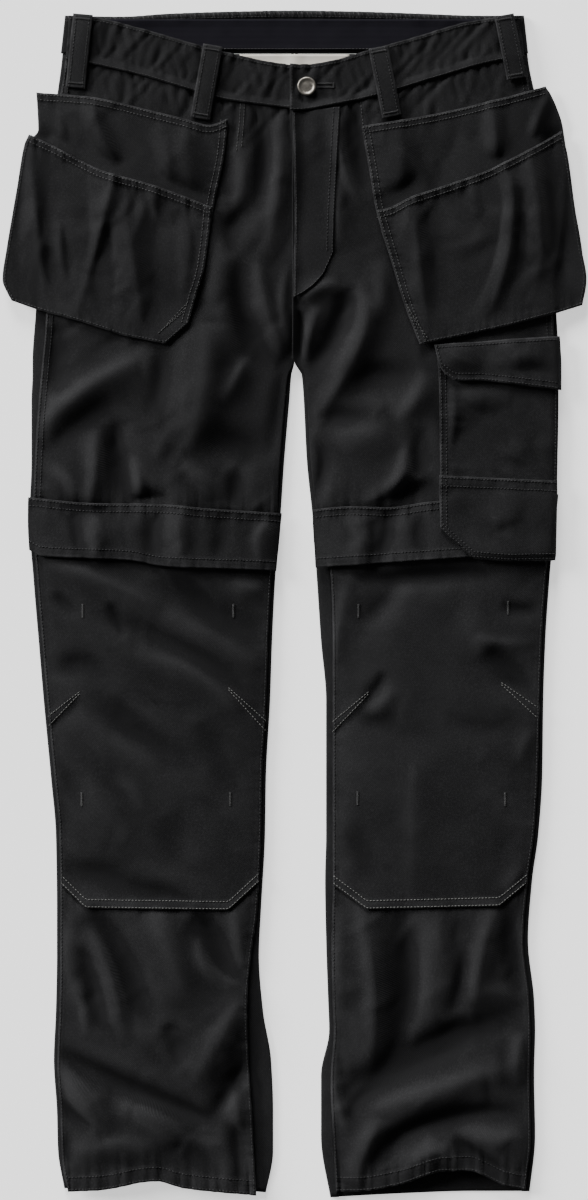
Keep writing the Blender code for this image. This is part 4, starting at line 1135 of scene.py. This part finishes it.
class TROUSERS_OT_backs(bpy.types.Operator):
    """Sew the back legs, the back waistband, its facing and the plain strip under it"""

    bl_idname = "trousers.backs"
    bl_label = "Back panels and waistband"

    def rolled(self, left, right, left_end, right_end, left_radius, right_radius, half, flat):
        """Section of a back piece: strip, half round roll, flat underside, roll and strip.

        The rolls are half circles of the given radii, and the strips lie on top, two radii above
        the underside, as far as the ends.
        """
        turn = np.linspace(math.pi / 2, -math.pi / 2, 9)
        left = left + half
        right = right - half
        across = []
        height = []
        for part in (0.0, 0.34, 0.67):
            across.append(left_end + (left + left_radius - left_end) * part)
            height.append(half + 2.0 * left_radius)
        for angle in turn:
            across.append(left + left_radius * (1.0 - math.cos(angle)))
            height.append(half + left_radius * (1.0 + math.sin(angle)))
        for part in flat:
            across.append(left + 4.0 + (right - left - 8.0) * part)
            height.append(np.full(left.shape, half))
        for angle in turn[::-1]:
            across.append(right - right_radius * (1.0 - math.cos(angle)))
            height.append(half + right_radius * (1.0 + math.sin(angle)))
        for part in (0.67, 0.34, 0.0):
            across.append(right_end + (right - right_radius - right_end) * part)
            height.append(half + 2.0 * right_radius)
        return np.stack(across, axis=1), np.stack(height, axis=1)

    def back_panel(self, side):
        """Lay a back leg flat, with its sides rolled over and its hem drawn to its curve."""
        down = np.linspace(BACK_BAND_SEAM + 0.4, 1162.0, 225)
        legs = LEGS[side]
        seat = np.clip((down - CROTCH) / 40.0, 0.0, 1.0)
        across, height = self.rolled(
            smooth(legs, down, 3), smooth(legs, down, 1),
            smooth(legs, down, 4) + SEAM_LAP, smooth(legs, down, 2) - SEAM_LAP,
            SEAT_SEAM_RADIUS + (ROLL_RADIUS - SEAT_SEAM_RADIUS) * seat,
            np.full(down.shape, ROLL_RADIUS), CLOTH / 2, np.linspace(0.0, 1.0, 14))
        down = np.repeat(down[:, None], across.shape[1], axis=1)
        hem = smooth(BACK_HEM[side], across[-1])
        low = np.clip((down - 1100.0) / 62.0, 0.0, 1.0)
        down = down + (hem - 1162.0) * low
        across = SIGNS[side] * across
        wear_and_shade = 0.5 * np.exp(-((down - down[-1]) / 3.0) ** 2)
        # The rolled sides are lightened a little, partly as wear and partly as a painted highlight along the
        # rims.
        wear_and_shade[:, :5] = np.maximum(wear_and_shade[:, :5], 0.12)
        wear_and_shade[:, -5:] = np.maximum(wear_and_shade[:, -5:], 0.12)
        finish_cloth("cloth_back_panel_" + side, "back_panel_" + side, across, down, height, CLOTH,
                     "washed_black_canvas", wear_and_shade, offset=0.0)
        heights.cover(across, down, height + CLOTH / 2)

    def waistband(self):
        """Lay the back waistband flat and overcast its top edge.

        The ridge along its top is a bell across the edge times an uneven wave along it.
        """
        rows = np.linspace(0.0, 1.0, 26)
        side = np.full(rows.shape, 226.0)
        radius = np.full(rows.shape, BAND_ROLL_RADIUS)
        across, height = self.rolled(-side, side, -side + 8.0, side - 8.0, radius, radius,
                                     BACK_BAND_CLOTH / 2, np.linspace(0.0, 1.0, 170))
        top = smooth(BACK_BAND_TOP, across[0])
        down = top + (BACK_BAND_SEAM - top) * rows[:, None]
        across = across * (1.0 + 0.018 * rows[:, None])
        flat = height < BACK_BAND_CLOTH / 2 + 0.01
        edge = down - top
        ridge = 1.5 * np.exp(-((edge - 3.0) / 3.0) ** 2) * (0.8 + wander(across, 5, (5.5, 7.0, 11.0)))
        lifted = height + np.where(flat, np.maximum(ridge, 0.0), 0.0)
        wear_and_shade = 0.8 * np.exp(-(edge / 3.2) ** 2) * np.clip(0.5 + 0.5 * wander(across, 6, (8, 13, 29)), 0, 1)
        finish_cloth("cloth_waistband_back", "waistband_back", across, down, lifted, BACK_BAND_CLOTH,
                     "washed_black_canvas", wear_and_shade, offset=0.0)
        heights.cover(across, down, lifted + BACK_BAND_CLOTH / 2)
        sew_rows(across, down, [("top", 5.5)])
        at = np.arange(-222.0, 222.0, 4.6)
        at = at + 0.6 * wander(at, 8)
        edge = smooth(BACK_BAND_TOP, at)
        ends = [np.stack([at + lean, edge + along, read_map(heights.top, at + lean, edge + along) + 0.1], -1)
                for lean, along in ((-0.9, 0.9), (0.9, 5.2))]
        stitch_rows.append(("middle", ends[0], ends[1]))

    def execute(self, context):
        for side in SIGNS:
            self.back_panel(side)
        stitch_line((-40.0, -23.0), (1041.0, 1042.0), "middle")
        self.waistband()
        across, rows = np.meshgrid(np.linspace(-196.0, 196.0, 130), np.linspace(0.0, 1.0, 14))
        down = 8.5 + 30.5 * rows
        under = 2.0 + 0.25 * wander(across, 31, (31.0, 57.0, 90.0))
        sew("cloth_waistband_facing", "waistband_facing", across, down, under, FACING_CLOTH,
            hems=[("top", 2.5, 0.3), ("low", 2.5, 0.3)], material="woven_dark_facing")
        sew_rows(across, down, [("low", 1.4)], "middle")
        part, rows = np.meshgrid(np.linspace(-1.0, 1.0, 40), np.linspace(0.0, 1.0, 8))
        across = 54.0 * part
        down = 43.0 + 15.0 * rows
        sew("cloth_waist_tape", "waist_label", across, down, np.full(across.shape, 1.6), FACING_CLOTH,
            material="woven_cotton_tape")
        return {"FINISHED"}


class TROUSERS_OT_fronts(bpy.types.Operator):
    """Sew the upper fronts with their side seams, and the fly placket"""

    bl_idname = "trousers.fronts"
    bl_label = "Fronts and fly"

    def execute(self, context):
        cell = context.scene.trouser_sizes.cell / MM
        for number, side in enumerate(SIGNS):
            lap = 0.0 if side == "right" else -CENTRE_LAP
            across, down = place_grid(
                side, leg_edge(side, 2),
                lambda at, side=side, lap=lap: smooth(LEGS[side], at, 4) + lap * (np.asarray(at) < CROTCH),
                cross_seam(WAIST_SEAM, side, -PANEL_LAP), cross_seam(BAND_SEAM, side, PANEL_LAP),
                graded(250.0, cell, 8.0, 9.0), graded(410.0, cell, 16.0, 16.0))
            sew("cloth_front_panel_" + side, "front_panel_" + side, across, down,
                heights.body_at(across, down)
                + crumple(across, down, 45 + number, 1.5) * np.exp(-((down - down[0]) / 46.0) ** 2), CLOTH,
                hems=[("last", 7.0, 0.6)],
                gathers=[("top", 30.0, 1.2), ("low", 24.0, 1.0), ("last", 12.0, 0.35)],
                worn_edges=["last"], seed=40 + number,
                tucked=["top", "low"])
            sew_rows(across, down, [("last", 1.6), ("last", 6.4)])
        for seam in (((-53, -54, -57), (92, 112, 140)), ((-49, -50, -52), (92, 112, 136)),
                     ((65, 67, 73), (90, 112, 138))):
            stitch_line(*seam, "middle")
        across, down = place_grid(
            "left", lambda at: straight(FLY["outer"], at), lambda at: straight(FLY["inner"], at),
            lambda at: straight(FLY["top"], at), lambda at: straight(FLY["low"], at),
            graded(44.0, 2.4, 6.0, 3.0), graded(185.0, 3.0, 3.0, 3.0))
        across = across + 1.2 * np.exp(-((down - 205.0) / 40.0) ** 2) * np.exp(-(across / 8.0) ** 2)
        sew("cloth_fly", "fly", across, down, heights.body_at(across, down) + FLY_WALL, FLY_WALL,
            hems=[("first", 3.0, 0.6)], gathers=[("first", 9.0, 0.4), ("last", 7.0, 0.25)],
            worn_edges=["first"], seed=44, wear=0.9)
        sew_rows(across, down, [("last", 1.2), ("last", 6.5), ("low", 1.2), ("first", 2.0)])
        return {"FINISHED"}


class TROUSERS_OT_lower_legs(bpy.types.Operator):
    """Sew the shins, the doubled knees with their darts, and the hems"""

    bl_idname = "trousers.lower_legs"
    bl_label = "Knees, shins and hems"

    def execute(self, context):
        cell = context.scene.trouser_sizes.cell / MM
        for number, side in enumerate(SIGNS):
            across, down = place_grid(
                side, leg_edge(side, 2), leg_edge(side, 4),
                cross_seam(KNEE_SEAM, side, -PANEL_LAP - 2.0), cross_seam(FRONT_HEM, side),
                graded(200.0, cell, 8.0, 8.0), graded(290.0, cell, 10.0, 20.0))
            sew("cloth_shin_panel_" + side, "shin_panel_" + side, across, down,
                heights.body_at(across, down), CLOTH,
                hems=[("low", 15.0, 0.7), ("first", 5.0, 0.5), ("last", 5.0, 0.5)],
                gathers=[("low", 24.0, 1.7), ("top", 16.0, 0.6), ("first", 10.0, 0.6)],
                worn_edges=["low", "first", "last"], seed=50 + number,
                tucked=["top"])
            sew_rows(across, down, [("low", 14.0), ("low", 2.0), ("first", 1.5), ("last", 1.5)])
            across, down = place_grid(
                side, leg_edge(side, 2), leg_edge(side, 4),
                cross_seam(BAND_SEAM, side, 2.0 * PANEL_LAP),
                lambda reach, side=side: straight(KNEE_SEAM[side], reach),
                graded(215.0, cell, 8.0, 8.0), graded(370.0, cell, 4.0, 14.0))
            wanted = heights.body_at(across, down)
            for x0, d0, x1, d1, x2, d2 in DARTS:
                along_x = 0.5 * (x1 + x2) - x0
                along_d = 0.5 * (d1 + d2) - d0
                run = math.hypot(along_x, along_d)
                t = ((across - x0) * along_x + (down - d0) * along_d) / run
                off = ((across - x0) * along_d - (down - d0) * along_x) / run
                inside = np.clip(t / 12.0, 0.0, 1.0) * np.clip((run + DART_FADE - t) / DART_FADE, 0.0, 1.0)
                wanted = wanted + DART_RIDGE * inside * np.exp(-(off / DART_RIDGE_WIDTH) ** 2)
                beside = (off - DART_DIP_AWAY) / DART_DIP_WIDTH
                wanted = wanted - DART_DIP * inside * np.exp(-beside ** 2)
            sew("cloth_knee_panel_" + side, "knee_panel_" + side, across, down, wanted, CLOTH,
                hems=[("low", 9.0, 0.5), ("first", 5.0, 0.4), ("last", 5.0, 0.4)],
                gathers=[("low", 14.0, 0.5), ("first", 10.0, 0.4), ("last", 10.0, 0.3)],
                worn_edges=["low", "first", "last"], seed=54 + number,
                tucked=["top"])
            sew_rows(across, down, [("low", 1.6), ("low", 8.6)], "grey")
            sew_rows(across, down, [("first", 1.5), ("last", 1.5)])
        for x0, d0, x1, d1, x2, d2 in DARTS:
            stitch_line([x0, x1], [d0, d1], "grey")
            stitch_line([x0, x2], [d0 + 2.0, d2], "grey")
        for x, d in KNEE_TACKS:
            tack(x, d, 13.0, 2.6)
        return {"FINISHED"}


class TROUSERS_OT_bands(bpy.types.Operator):
    """Sew the bands round the thighs, free at their lower edges"""

    bl_idname = "trousers.bands"
    bl_label = "Thigh bands"

    def execute(self, context):
        cell = context.scene.trouser_sizes.fine_cell / MM
        for number, side in enumerate(SIGNS):
            across, down = place_grid(
                side, lambda at, side=side: smooth(LEGS[side], at, 1) + 0.8, leg_edge(side, 3),
                cross_seam(BAND_SEAM, side), cross_seam(BAND_EDGE, side),
                graded(245.0, cell, 4.0, 4.0), graded(60.0, cell, 14.0, 14.0))
            free = (down - down[0]) / (down[-1] - down[0])
            wanted = heights.body_at(across, down) + CLOTH + BAND_STANDS_OFF * free ** 1.5
            sew("cloth_thigh_band_" + side, "thigh_band_" + side, across, down, wanted, HEM_CLOTH,
                hems=[("low", 10.0, 0.6)],
                gathers=[("top", 13.0, 1.3), ("low", 12.0, 0.6)],
                worn_edges=["top", "low"], seed=60 + number)
            sew_rows(across, down, [("top", 2.0), ("top", 8.0), ("low", 9.0)])
        return {"FINISHED"}


class TROUSERS_OT_waist(bpy.types.Operator):
    """Sew the front waistband and the belt loops"""

    bl_idname = "trousers.waist"
    bl_label = "Front waistband and belt loops"

    def waistband(self, side, seed, cell):
        """Lay half of the front waistband on the relief, crumpled and puckered along its seams."""
        end = -4.6 if side == "left" else 1.0
        across, down = place_grid(
            side, leg_edge(side, 2), lambda at: np.full(np.shape(at), end),
            cross_seam(WAIST_TOP, side), cross_seam(WAIST_SEAM, side),
            graded(225.0, cell, 5.0, 5.0), graded(43.0, cell, 9.0, 9.0))
        wanted = heights.body_at(across, down) - 0.2 + crumple(across, down, seed, 1.25)
        sew("cloth_waistband_front_" + side, "waistband_front_" + side, across, down, wanted,
            FRONT_BAND_WALL, hems=[("top", 3.0, 0.4)],
            gathers=[("top", 11.0, 1.1), ("low", 14.0, 1.2)], worn_edges=["top", "low", "first"],
            seed=seed)
        sew_rows(across, down, [("top", 3.0), ("low", 1.6), ("first", 2.2)])

    def belt_loop(self, name, x0, d0, x1, d1, cell):
        """Lay a loop between two places: bowed up along its length and down towards its edges."""
        part, wide = np.meshgrid(graded(72.0, cell, 4.0, 4.0), graded(LOOP_WIDTH, 1.6) - 0.5,
                                 indexing="ij")
        run = np.array((x1 - x0, d1 - d0)) / math.hypot(x1 - x0, d1 - d0)
        across = x0 + (x1 - x0) * part + run[1] * wide * LOOP_WIDTH
        down = d0 + (d1 - d0) * part - run[0] * wide * LOOP_WIDTH
        bow = 1.6 * np.sin(math.pi * part) - 2.6 * wide ** 2
        wanted = read_map(heights.plain, across, down) + BAND_CLOTH + 0.8 + bow
        sew("cloth_" + name, name, across, down, wanted, LOOP_CLOTH,
            worn_edges=["top", "low", "first", "last"], seed=int(abs(x0)), wear=0.8)
        for sign in (-0.34, 0.34):
            shift = sign * LOOP_WIDTH
            stitch_line([x0 + run[1] * shift, x1 + run[1] * shift],
                        [d0 - run[0] * shift, d1 - run[0] * shift])
        lean = math.atan2(run[1], -run[0])
        for share in (0.06, 0.94):
            tack(x0 + (x1 - x0) * share, d0 + (d1 - d0) * share, 15.0, 2.4, "dark", lean)

    def execute(self, context):
        cell = context.scene.trouser_sizes.fine_cell / MM
        self.waistband("right", 70, cell)
        self.waistband("left", 71, cell)
        for loop in BELT_LOOPS:
            self.belt_loop(*loop, cell)
        return {"FINISHED"}


class TROUSERS_OT_hanging_pockets(bpy.types.Operator):
    """Sew the two hanging tool pockets, each a rear layer and a slack bag"""

    bl_idname = "trousers.hanging_pockets"
    bl_label = "Hanging tool pockets"

    def rear(self, side, seed, cell):
        """Lay a rear layer on the blurred relief with its own folds, sinking beyond the leg."""
        edges = HOLSTER_REAR[side]
        across, down = place_grid(
            side, *pocket_edges(edges),
            graded(190.0, cell, 9.0, 4.0), graded(200.0, cell, 11.0, 3.0))
        beyond = np.maximum(np.abs(across) - smooth(LEGS[side], down, 1), 0.0)
        wanted = read_map(heights.plain, across, down) + CLOTH + 0.8 - 0.05 * beyond
        wanted = wanted + read_map(heights.rear, across, down)
        sew("cloth_holster_rear_" + side, "holster_rear_" + side, across, down, wanted, CLOTH,
            hems=[("top", 8.0, 0.8), ("first", 6.0, 0.7)],
            gathers=[("top", 12.0, 0.9), ("first", 10.0, 1.0)],
            worn_edges=["top", "first", "last"], seed=seed, wear=1.0)
        sew_rows(across, down, [("top", 2.0), ("top", 7.0), ("first", 2.0), ("first", 7.0)], "middle")

    def bag(self, side, seed, cell):
        """Lay a bag on its rear layer: raised, and folded, by a pouch that is flat at its seams.

        The pouch is one less the fourth power of the distance from the middle column, times one
        less the fourth power of the place from the mouth to the bottom.
        """
        edges = HOLSTER_BAG[side]
        columns = graded(190.0, cell, 9.0, 9.0)
        rows = graded(150.0, cell, 11.0, 9.0)
        across, down = place_grid(
            side, *pocket_edges(edges),
            columns, rows)
        pouch = (1.0 - (2.0 * columns[None, :] - 1.0) ** 4) * (1.0 - rows[:, None] ** 4)
        wanted = read_map(heights.plain, across, down) + 2.0 * CLOTH + 1.6
        wanted = wanted + POUCH_RISE * pouch + pouch * read_map(heights.bag, across, down)
        sew("cloth_holster_bag_" + side, "holster_bag_" + side, across, down, wanted, CLOTH,
            hems=[("top", 8.0, 0.9), ("low", 6.0, 0.4), ("first", 6.0, 0.7)],
            gathers=[("top", 14.0, 1.2), ("low", 12.0, 0.7), ("first", 10.0, 0.9)],
            worn_edges=["top", "low", "first", "last"], seed=seed, wear=1.0)
        sew_rows(across, down, [("top", 2.0), ("top", 7.0), ("first", 2.0), ("first", 7.0)], "middle")
        sew_rows(across, down, [("low", 2.0), ("last", 2.5)])
        for inset in (0.0, 3.0, 9.0):
            if side == "right":
                start = (-134 + inset, 319 - inset)
                end = (-108 + 0.4 * inset, 297 - inset)
            else:
                start = (131 - inset, 324 - inset)
                end = (110 - 0.3 * inset, 292 - inset)
            stitch_line((start[0], end[0]), (start[1], end[1]), "middle")

    def execute(self, context):
        cell = context.scene.trouser_sizes.fine_cell / MM
        for number, side in enumerate(SIGNS):
            self.rear(side, 80 + number, cell)
            self.bag(side, 84 + number, cell)
        return {"FINISHED"}


class TROUSERS_OT_cargo_pocket(bpy.types.Operator):
    """Sew the cargo pocket of the left thigh, its flap and the slim tool pocket on it"""

    bl_idname = "trousers.cargo_pocket"
    bl_label = "Cargo pocket"

    def lay_pocket(self, name, node, edges, height, thickness, extent, hems, gathers, rests_on, seed):
        """Lay a flat pocket piece at a height over the blurred relief, with the folds of the bags."""
        cell = bpy.context.scene.trouser_sizes.fine_cell / MM
        across, down = place_grid(
            "left", *pocket_edges(edges),
            graded(extent[0], cell, 8.0, 8.0), graded(extent[1], cell, 10.0, 8.0))
        free = (down - down[0]) / (down[-1] - down[0])
        wanted = read_map(heights.plain, across, down) + height(free)
        wanted = wanted + read_map(heights.bag, across, down)
        sew(name, node, across, down, wanted, thickness, hems, gathers,
            worn_edges=["top", "low", "first", "last"], seed=seed, wear=0.8)
        return across, down

    def execute(self, context):
        across, down = self.lay_pocket(
            "cloth_cargo_pocket", "cargo_pocket", CARGO_BODY, lambda free: CLOTH + 0.8, CLOTH,
            (118.0, 205.0), [("first", 6.0, 0.6)], [("first", 10.0, 0.5), ("top", 8.0, 0.4)],
            ["front_panel_left", "thigh_band_left"], 90)
        sew_rows(across, down, [("first", 2.0), ("first", 6.5), ("last", 2.0)])
        across, down = self.lay_pocket(
            "cloth_cargo_flap", "cargo_flap", CARGO_FLAP,
            lambda free: 2.0 * CLOTH + 1.4 + 1.6 * free, HEM_CLOTH, (120.0, 42.0),
            [("low", 6.0, 0.5), ("first", 5.0, 0.4)], [("low", 10.0, 0.5), ("top", 8.0, 0.6)],
            ["cargo_pocket"], 91)
        sew_rows(across, down, [("low", 2.0), ("low", 7.0), ("first", 2.0), ("top", 3.0)])
        across, down = self.lay_pocket(
            "cloth_tool_pocket", "tool_pocket", TOOL_POCKET, lambda free: 3.0 * CLOTH + 1.6, CLOTH,
            (116.0, 80.0), [("top", 11.0, 0.8), ("first", 5.0, 0.4), ("low", 5.0, 0.4)],
            [("top", 12.0, 0.6), ("low", 10.0, 0.5), ("first", 8.0, 0.4)], ["cargo_pocket"], 92)
        sew_rows(across, down, [("top", 2.0), ("top", 10.0), ("first", 2.0), ("first", 6.5),
                                ("low", 2.0), ("low", 6.5)])
        return {"FINISHED"}


class TROUSERS_OT_button(bpy.types.Operator):
    """Turn the waist button and sew the buttonhole beside it"""

    bl_idname = "trousers.button"
    bl_label = "Button and buttonhole"

    def execute(self, context):
        radius = context.scene.trouser_sizes.button_radius / MM
        low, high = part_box("waist_button")
        centre_across = 0.5 * (low[0] + high[0]) / MM
        centre_down = LENGTH / 2 - 0.5 * (low[1] + high[1]) / MM
        angles = np.linspace(0.0, 2.0 * math.pi, 65)
        shares, rise = np.array(BUTTON_PROFILE).T
        around, share = np.meshgrid(angles, shares)
        dents = 0.03 * np.sin(5.0 * around) * share
        reach = radius * share * (1.0 + 0.004 * np.sin(3.0 * around))
        across = centre_across + reach * np.cos(around)
        down = centre_down - reach * np.sin(around)
        seat = float(read_map(heights.top, across, down).max()) + 0.25
        seat = max(seat, low[2] / MM)
        height = seat + rise[:, None] + dents * (rise[:, None] > 1.0)
        mesh = grid_mesh("waist_button_face", across, down, height)
        button = bpy.data.objects.new("waist_button_face", mesh)
        bpy.context.scene.collection.objects.link(button)
        close_shell(mesh)
        mesh.materials.append(bpy.data.materials["rubbed_steel"])
        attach(button, "root")
        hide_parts("waist_button")
        # The buttonhole's two long sides, and the bar tack at its outer end
        for shift in (-1.9, 1.9):
            tack(centre_across + 18.0, centre_down + shift - 1.0, 15.0, 2.2, "dark", math.pi / 2)
        tack(centre_across + 26.5, centre_down - 1.0, 5.0, 2.4, "dark", 0.0)
        return {"FINISHED"}


class TROUSERS_OT_stitching(bpy.types.Operator):
    """Make every noted stitch as a short grain of thread, joined into one mesh for each colour"""

    bl_idname = "trousers.stitching"
    bl_label = "Stitching"

    def execute(self, context):
        radius = context.scene.trouser_sizes.thread_radius / MM
        for tone in ("grey", "middle", "dark"):
            start = np.concatenate([row[1] for row in stitch_rows if row[0] == tone])
            end = np.concatenate([row[2] for row in stitch_rows if row[0] == tone])
            self.thread(tone, start, end, radius, tone + "_topstitch_thread")
        return {"FINISHED"}

    def thread(self, tone, start, end, radius, material):
        """Each stitch is a grain: two tips and three rings of five points, bowed up a little."""
        along = end - start
        length = np.linalg.norm(along, axis=1, keepdims=True)
        along = along / length
        up = np.array((0.0, 0.0, 1.0)) - along * along[:, 2:3]
        up = up / np.linalg.norm(up, axis=1, keepdims=True)
        side = np.cross(along, up)
        sides = 5
        points = [start]
        for part, width, lift in ((0.16, 0.8, 0.1), (0.5, 1.0, 0.2), (0.84, 0.8, 0.1)):
            centre = start + along * length * part + up * lift
            for corner in range(sides):
                angle = 2.0 * math.pi * corner / sides
                points.append(centre + radius * width * (math.cos(angle) * side + math.sin(angle) * up))
        points.append(end)
        points = np.stack(points, axis=1)
        count = points.shape[1]
        faces = []
        for corner in range(sides):
            after = (corner + 1) % sides
            faces.append((0, 1 + after, 1 + corner, 1 + corner))
            for ring in (0, 1):
                a = 1 + ring * sides
                faces.append((a + corner, a + after, a + sides + after, a + sides + corner))
            last = 1 + 2 * sides
            faces.append((last + corner, last + after, count - 1, count - 1))
        quads = np.array([face for face in faces if len(set(face)) == 4])
        tris = np.array([list(dict.fromkeys(face)) for face in faces if len(set(face)) == 3])
        bases = (np.arange(len(points)) * count)[:, None, None]
        all_quads = (quads[None] + bases).reshape(-1, 4).tolist()
        all_tris = (tris[None] + bases).reshape(-1, 3).tolist()
        flat = points.reshape(-1, 3)
        place = np.stack([flat[:, 0], LENGTH / 2 - flat[:, 1], flat[:, 2]], axis=-1) * MM
        mesh = bpy.data.meshes.new("stitching_" + tone)
        mesh.from_pydata(place.tolist(), [], all_quads + all_tris)
        mesh.shade_smooth()
        mesh.materials.append(bpy.data.materials[material])
        piece = bpy.data.objects.new("stitching_" + tone, mesh)
        bpy.context.scene.collection.objects.link(piece)
        close_shell(mesh)
        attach(piece, "root")


class TROUSERS_OT_stage(bpy.types.Operator):
    """Set the pale floor, the soft studio lights and the camera straight above the garment"""

    bl_idname = "trousers.stage"
    bl_label = "Floor, lights and camera"

    # Metres, but for the sensor in millimetres. The frame's height is what the picture spans.
    FRAME_HEIGHT = 1.182
    CAMERA_ACROSS = -0.0005
    CAMERA_UP_FRAME = 0.0039
    CAMERA_HEIGHT = 4.0
    SENSOR = 36.0
    FLOOR_HALF = 40.0
    FLOOR_DROP = 0.0004
    WORLD_STRENGTH = 0.14

    def light(self, name, elevation, heading, spread, strength):
        """A far soft light. Its elevation, its heading round from +X and its spread are degrees."""
        data = bpy.data.lights.new(name, "SUN")
        data.angle = math.radians(spread)
        data.energy = strength
        lamp = bpy.data.objects.new(name, data)
        lamp.rotation_euler = (math.radians(90.0 - elevation), 0.0, math.radians(heading + 90.0))
        bpy.context.scene.collection.objects.link(lamp)

    def execute(self, context):
        mesh = bpy.data.meshes.new("studio_floor")
        half = self.FLOOR_HALF
        low = -self.FLOOR_DROP
        mesh.from_pydata([(-half, -half, low), (half, -half, low), (half, half, low),
                          (-half, half, low)], [], [(0, 1, 2, 3)])
        material = white_board("matt_white_board", 0.86, 0.9, 0.9)
        mesh.materials.append(material)
        floor = bpy.data.objects.new("studio_floor", mesh)
        bpy.context.scene.collection.objects.link(floor)
        self.light("left_light", 21.0, 154.0, 24.0, 5.3)
        self.light("top_light", 22.0, 102.0, 24.0, 4.2)
        world = bpy.data.worlds.new("studio")
        world.use_nodes = True
        world.node_tree.nodes["Background"].inputs["Color"].default_value = (1.0, 1.0, 1.0, 1.0)
        world.node_tree.nodes["Background"].inputs["Strength"].default_value = self.WORLD_STRENGTH
        context.scene.world = world
        data = bpy.data.cameras.new("camera")
        data.sensor_width = self.SENSOR
        data.lens = self.SENSOR * self.CAMERA_HEIGHT / self.FRAME_HEIGHT
        camera = bpy.data.objects.new("camera", data)
        camera.location = (self.CAMERA_ACROSS, self.CAMERA_UP_FRAME, self.CAMERA_HEIGHT)
        bpy.context.scene.collection.objects.link(camera)
        context.scene.camera = camera
        return {"FINISHED"}


STEPS = (
    TROUSERS_OT_materials, TROUSERS_OT_stage, TROUSERS_OT_backs, TROUSERS_OT_fronts,
    TROUSERS_OT_lower_legs, TROUSERS_OT_bands, TROUSERS_OT_waist, TROUSERS_OT_hanging_pockets,
    TROUSERS_OT_cargo_pocket, TROUSERS_OT_button, TROUSERS_OT_stitching,
)


class TROUSERS_PT_panel(bpy.types.Panel):
    """Lists the sizes, the colours and the steps in sewing order"""

    bl_idname = "TROUSERS_PT_panel"
    bl_label = "Work Trousers"
    bl_space_type = "VIEW_3D"
    bl_region_type = "UI"
    bl_category = "Trousers"

    def draw(self, context):
        """List every size and colour, then a button for each step."""
        for group in (context.scene.trouser_sizes, context.scene.trouser_colours):
            for name in group.__annotations__:
                self.layout.prop(group, name)
        for step in STEPS:
            self.layout.operator(step.bl_idname)


CLASSES = (TrouserSizes, TrouserColours) + STEPS + (TROUSERS_PT_panel,)


def register():
    """Register the groups, the operators and the panel, and hang the groups on the scene."""
    for item in CLASSES:
        bpy.utils.register_class(item)
    bpy.types.Scene.trouser_sizes = bpy.props.PointerProperty(type=TrouserSizes)
    bpy.types.Scene.trouser_colours = bpy.props.PointerProperty(type=TrouserColours)


def unregister():
    """Take back what register did, in the opposite order."""
    del bpy.types.Scene.trouser_colours
    del bpy.types.Scene.trouser_sizes
    for item in reversed(CLASSES):
        bpy.utils.unregister_class(item)


def main():
    """Run every step in sewing order."""
    register()
    for step in STEPS:
        group, name = step.bl_idname.split(".")
        getattr(getattr(bpy.ops, group), name)()


if __name__ == "__main__":
    main()
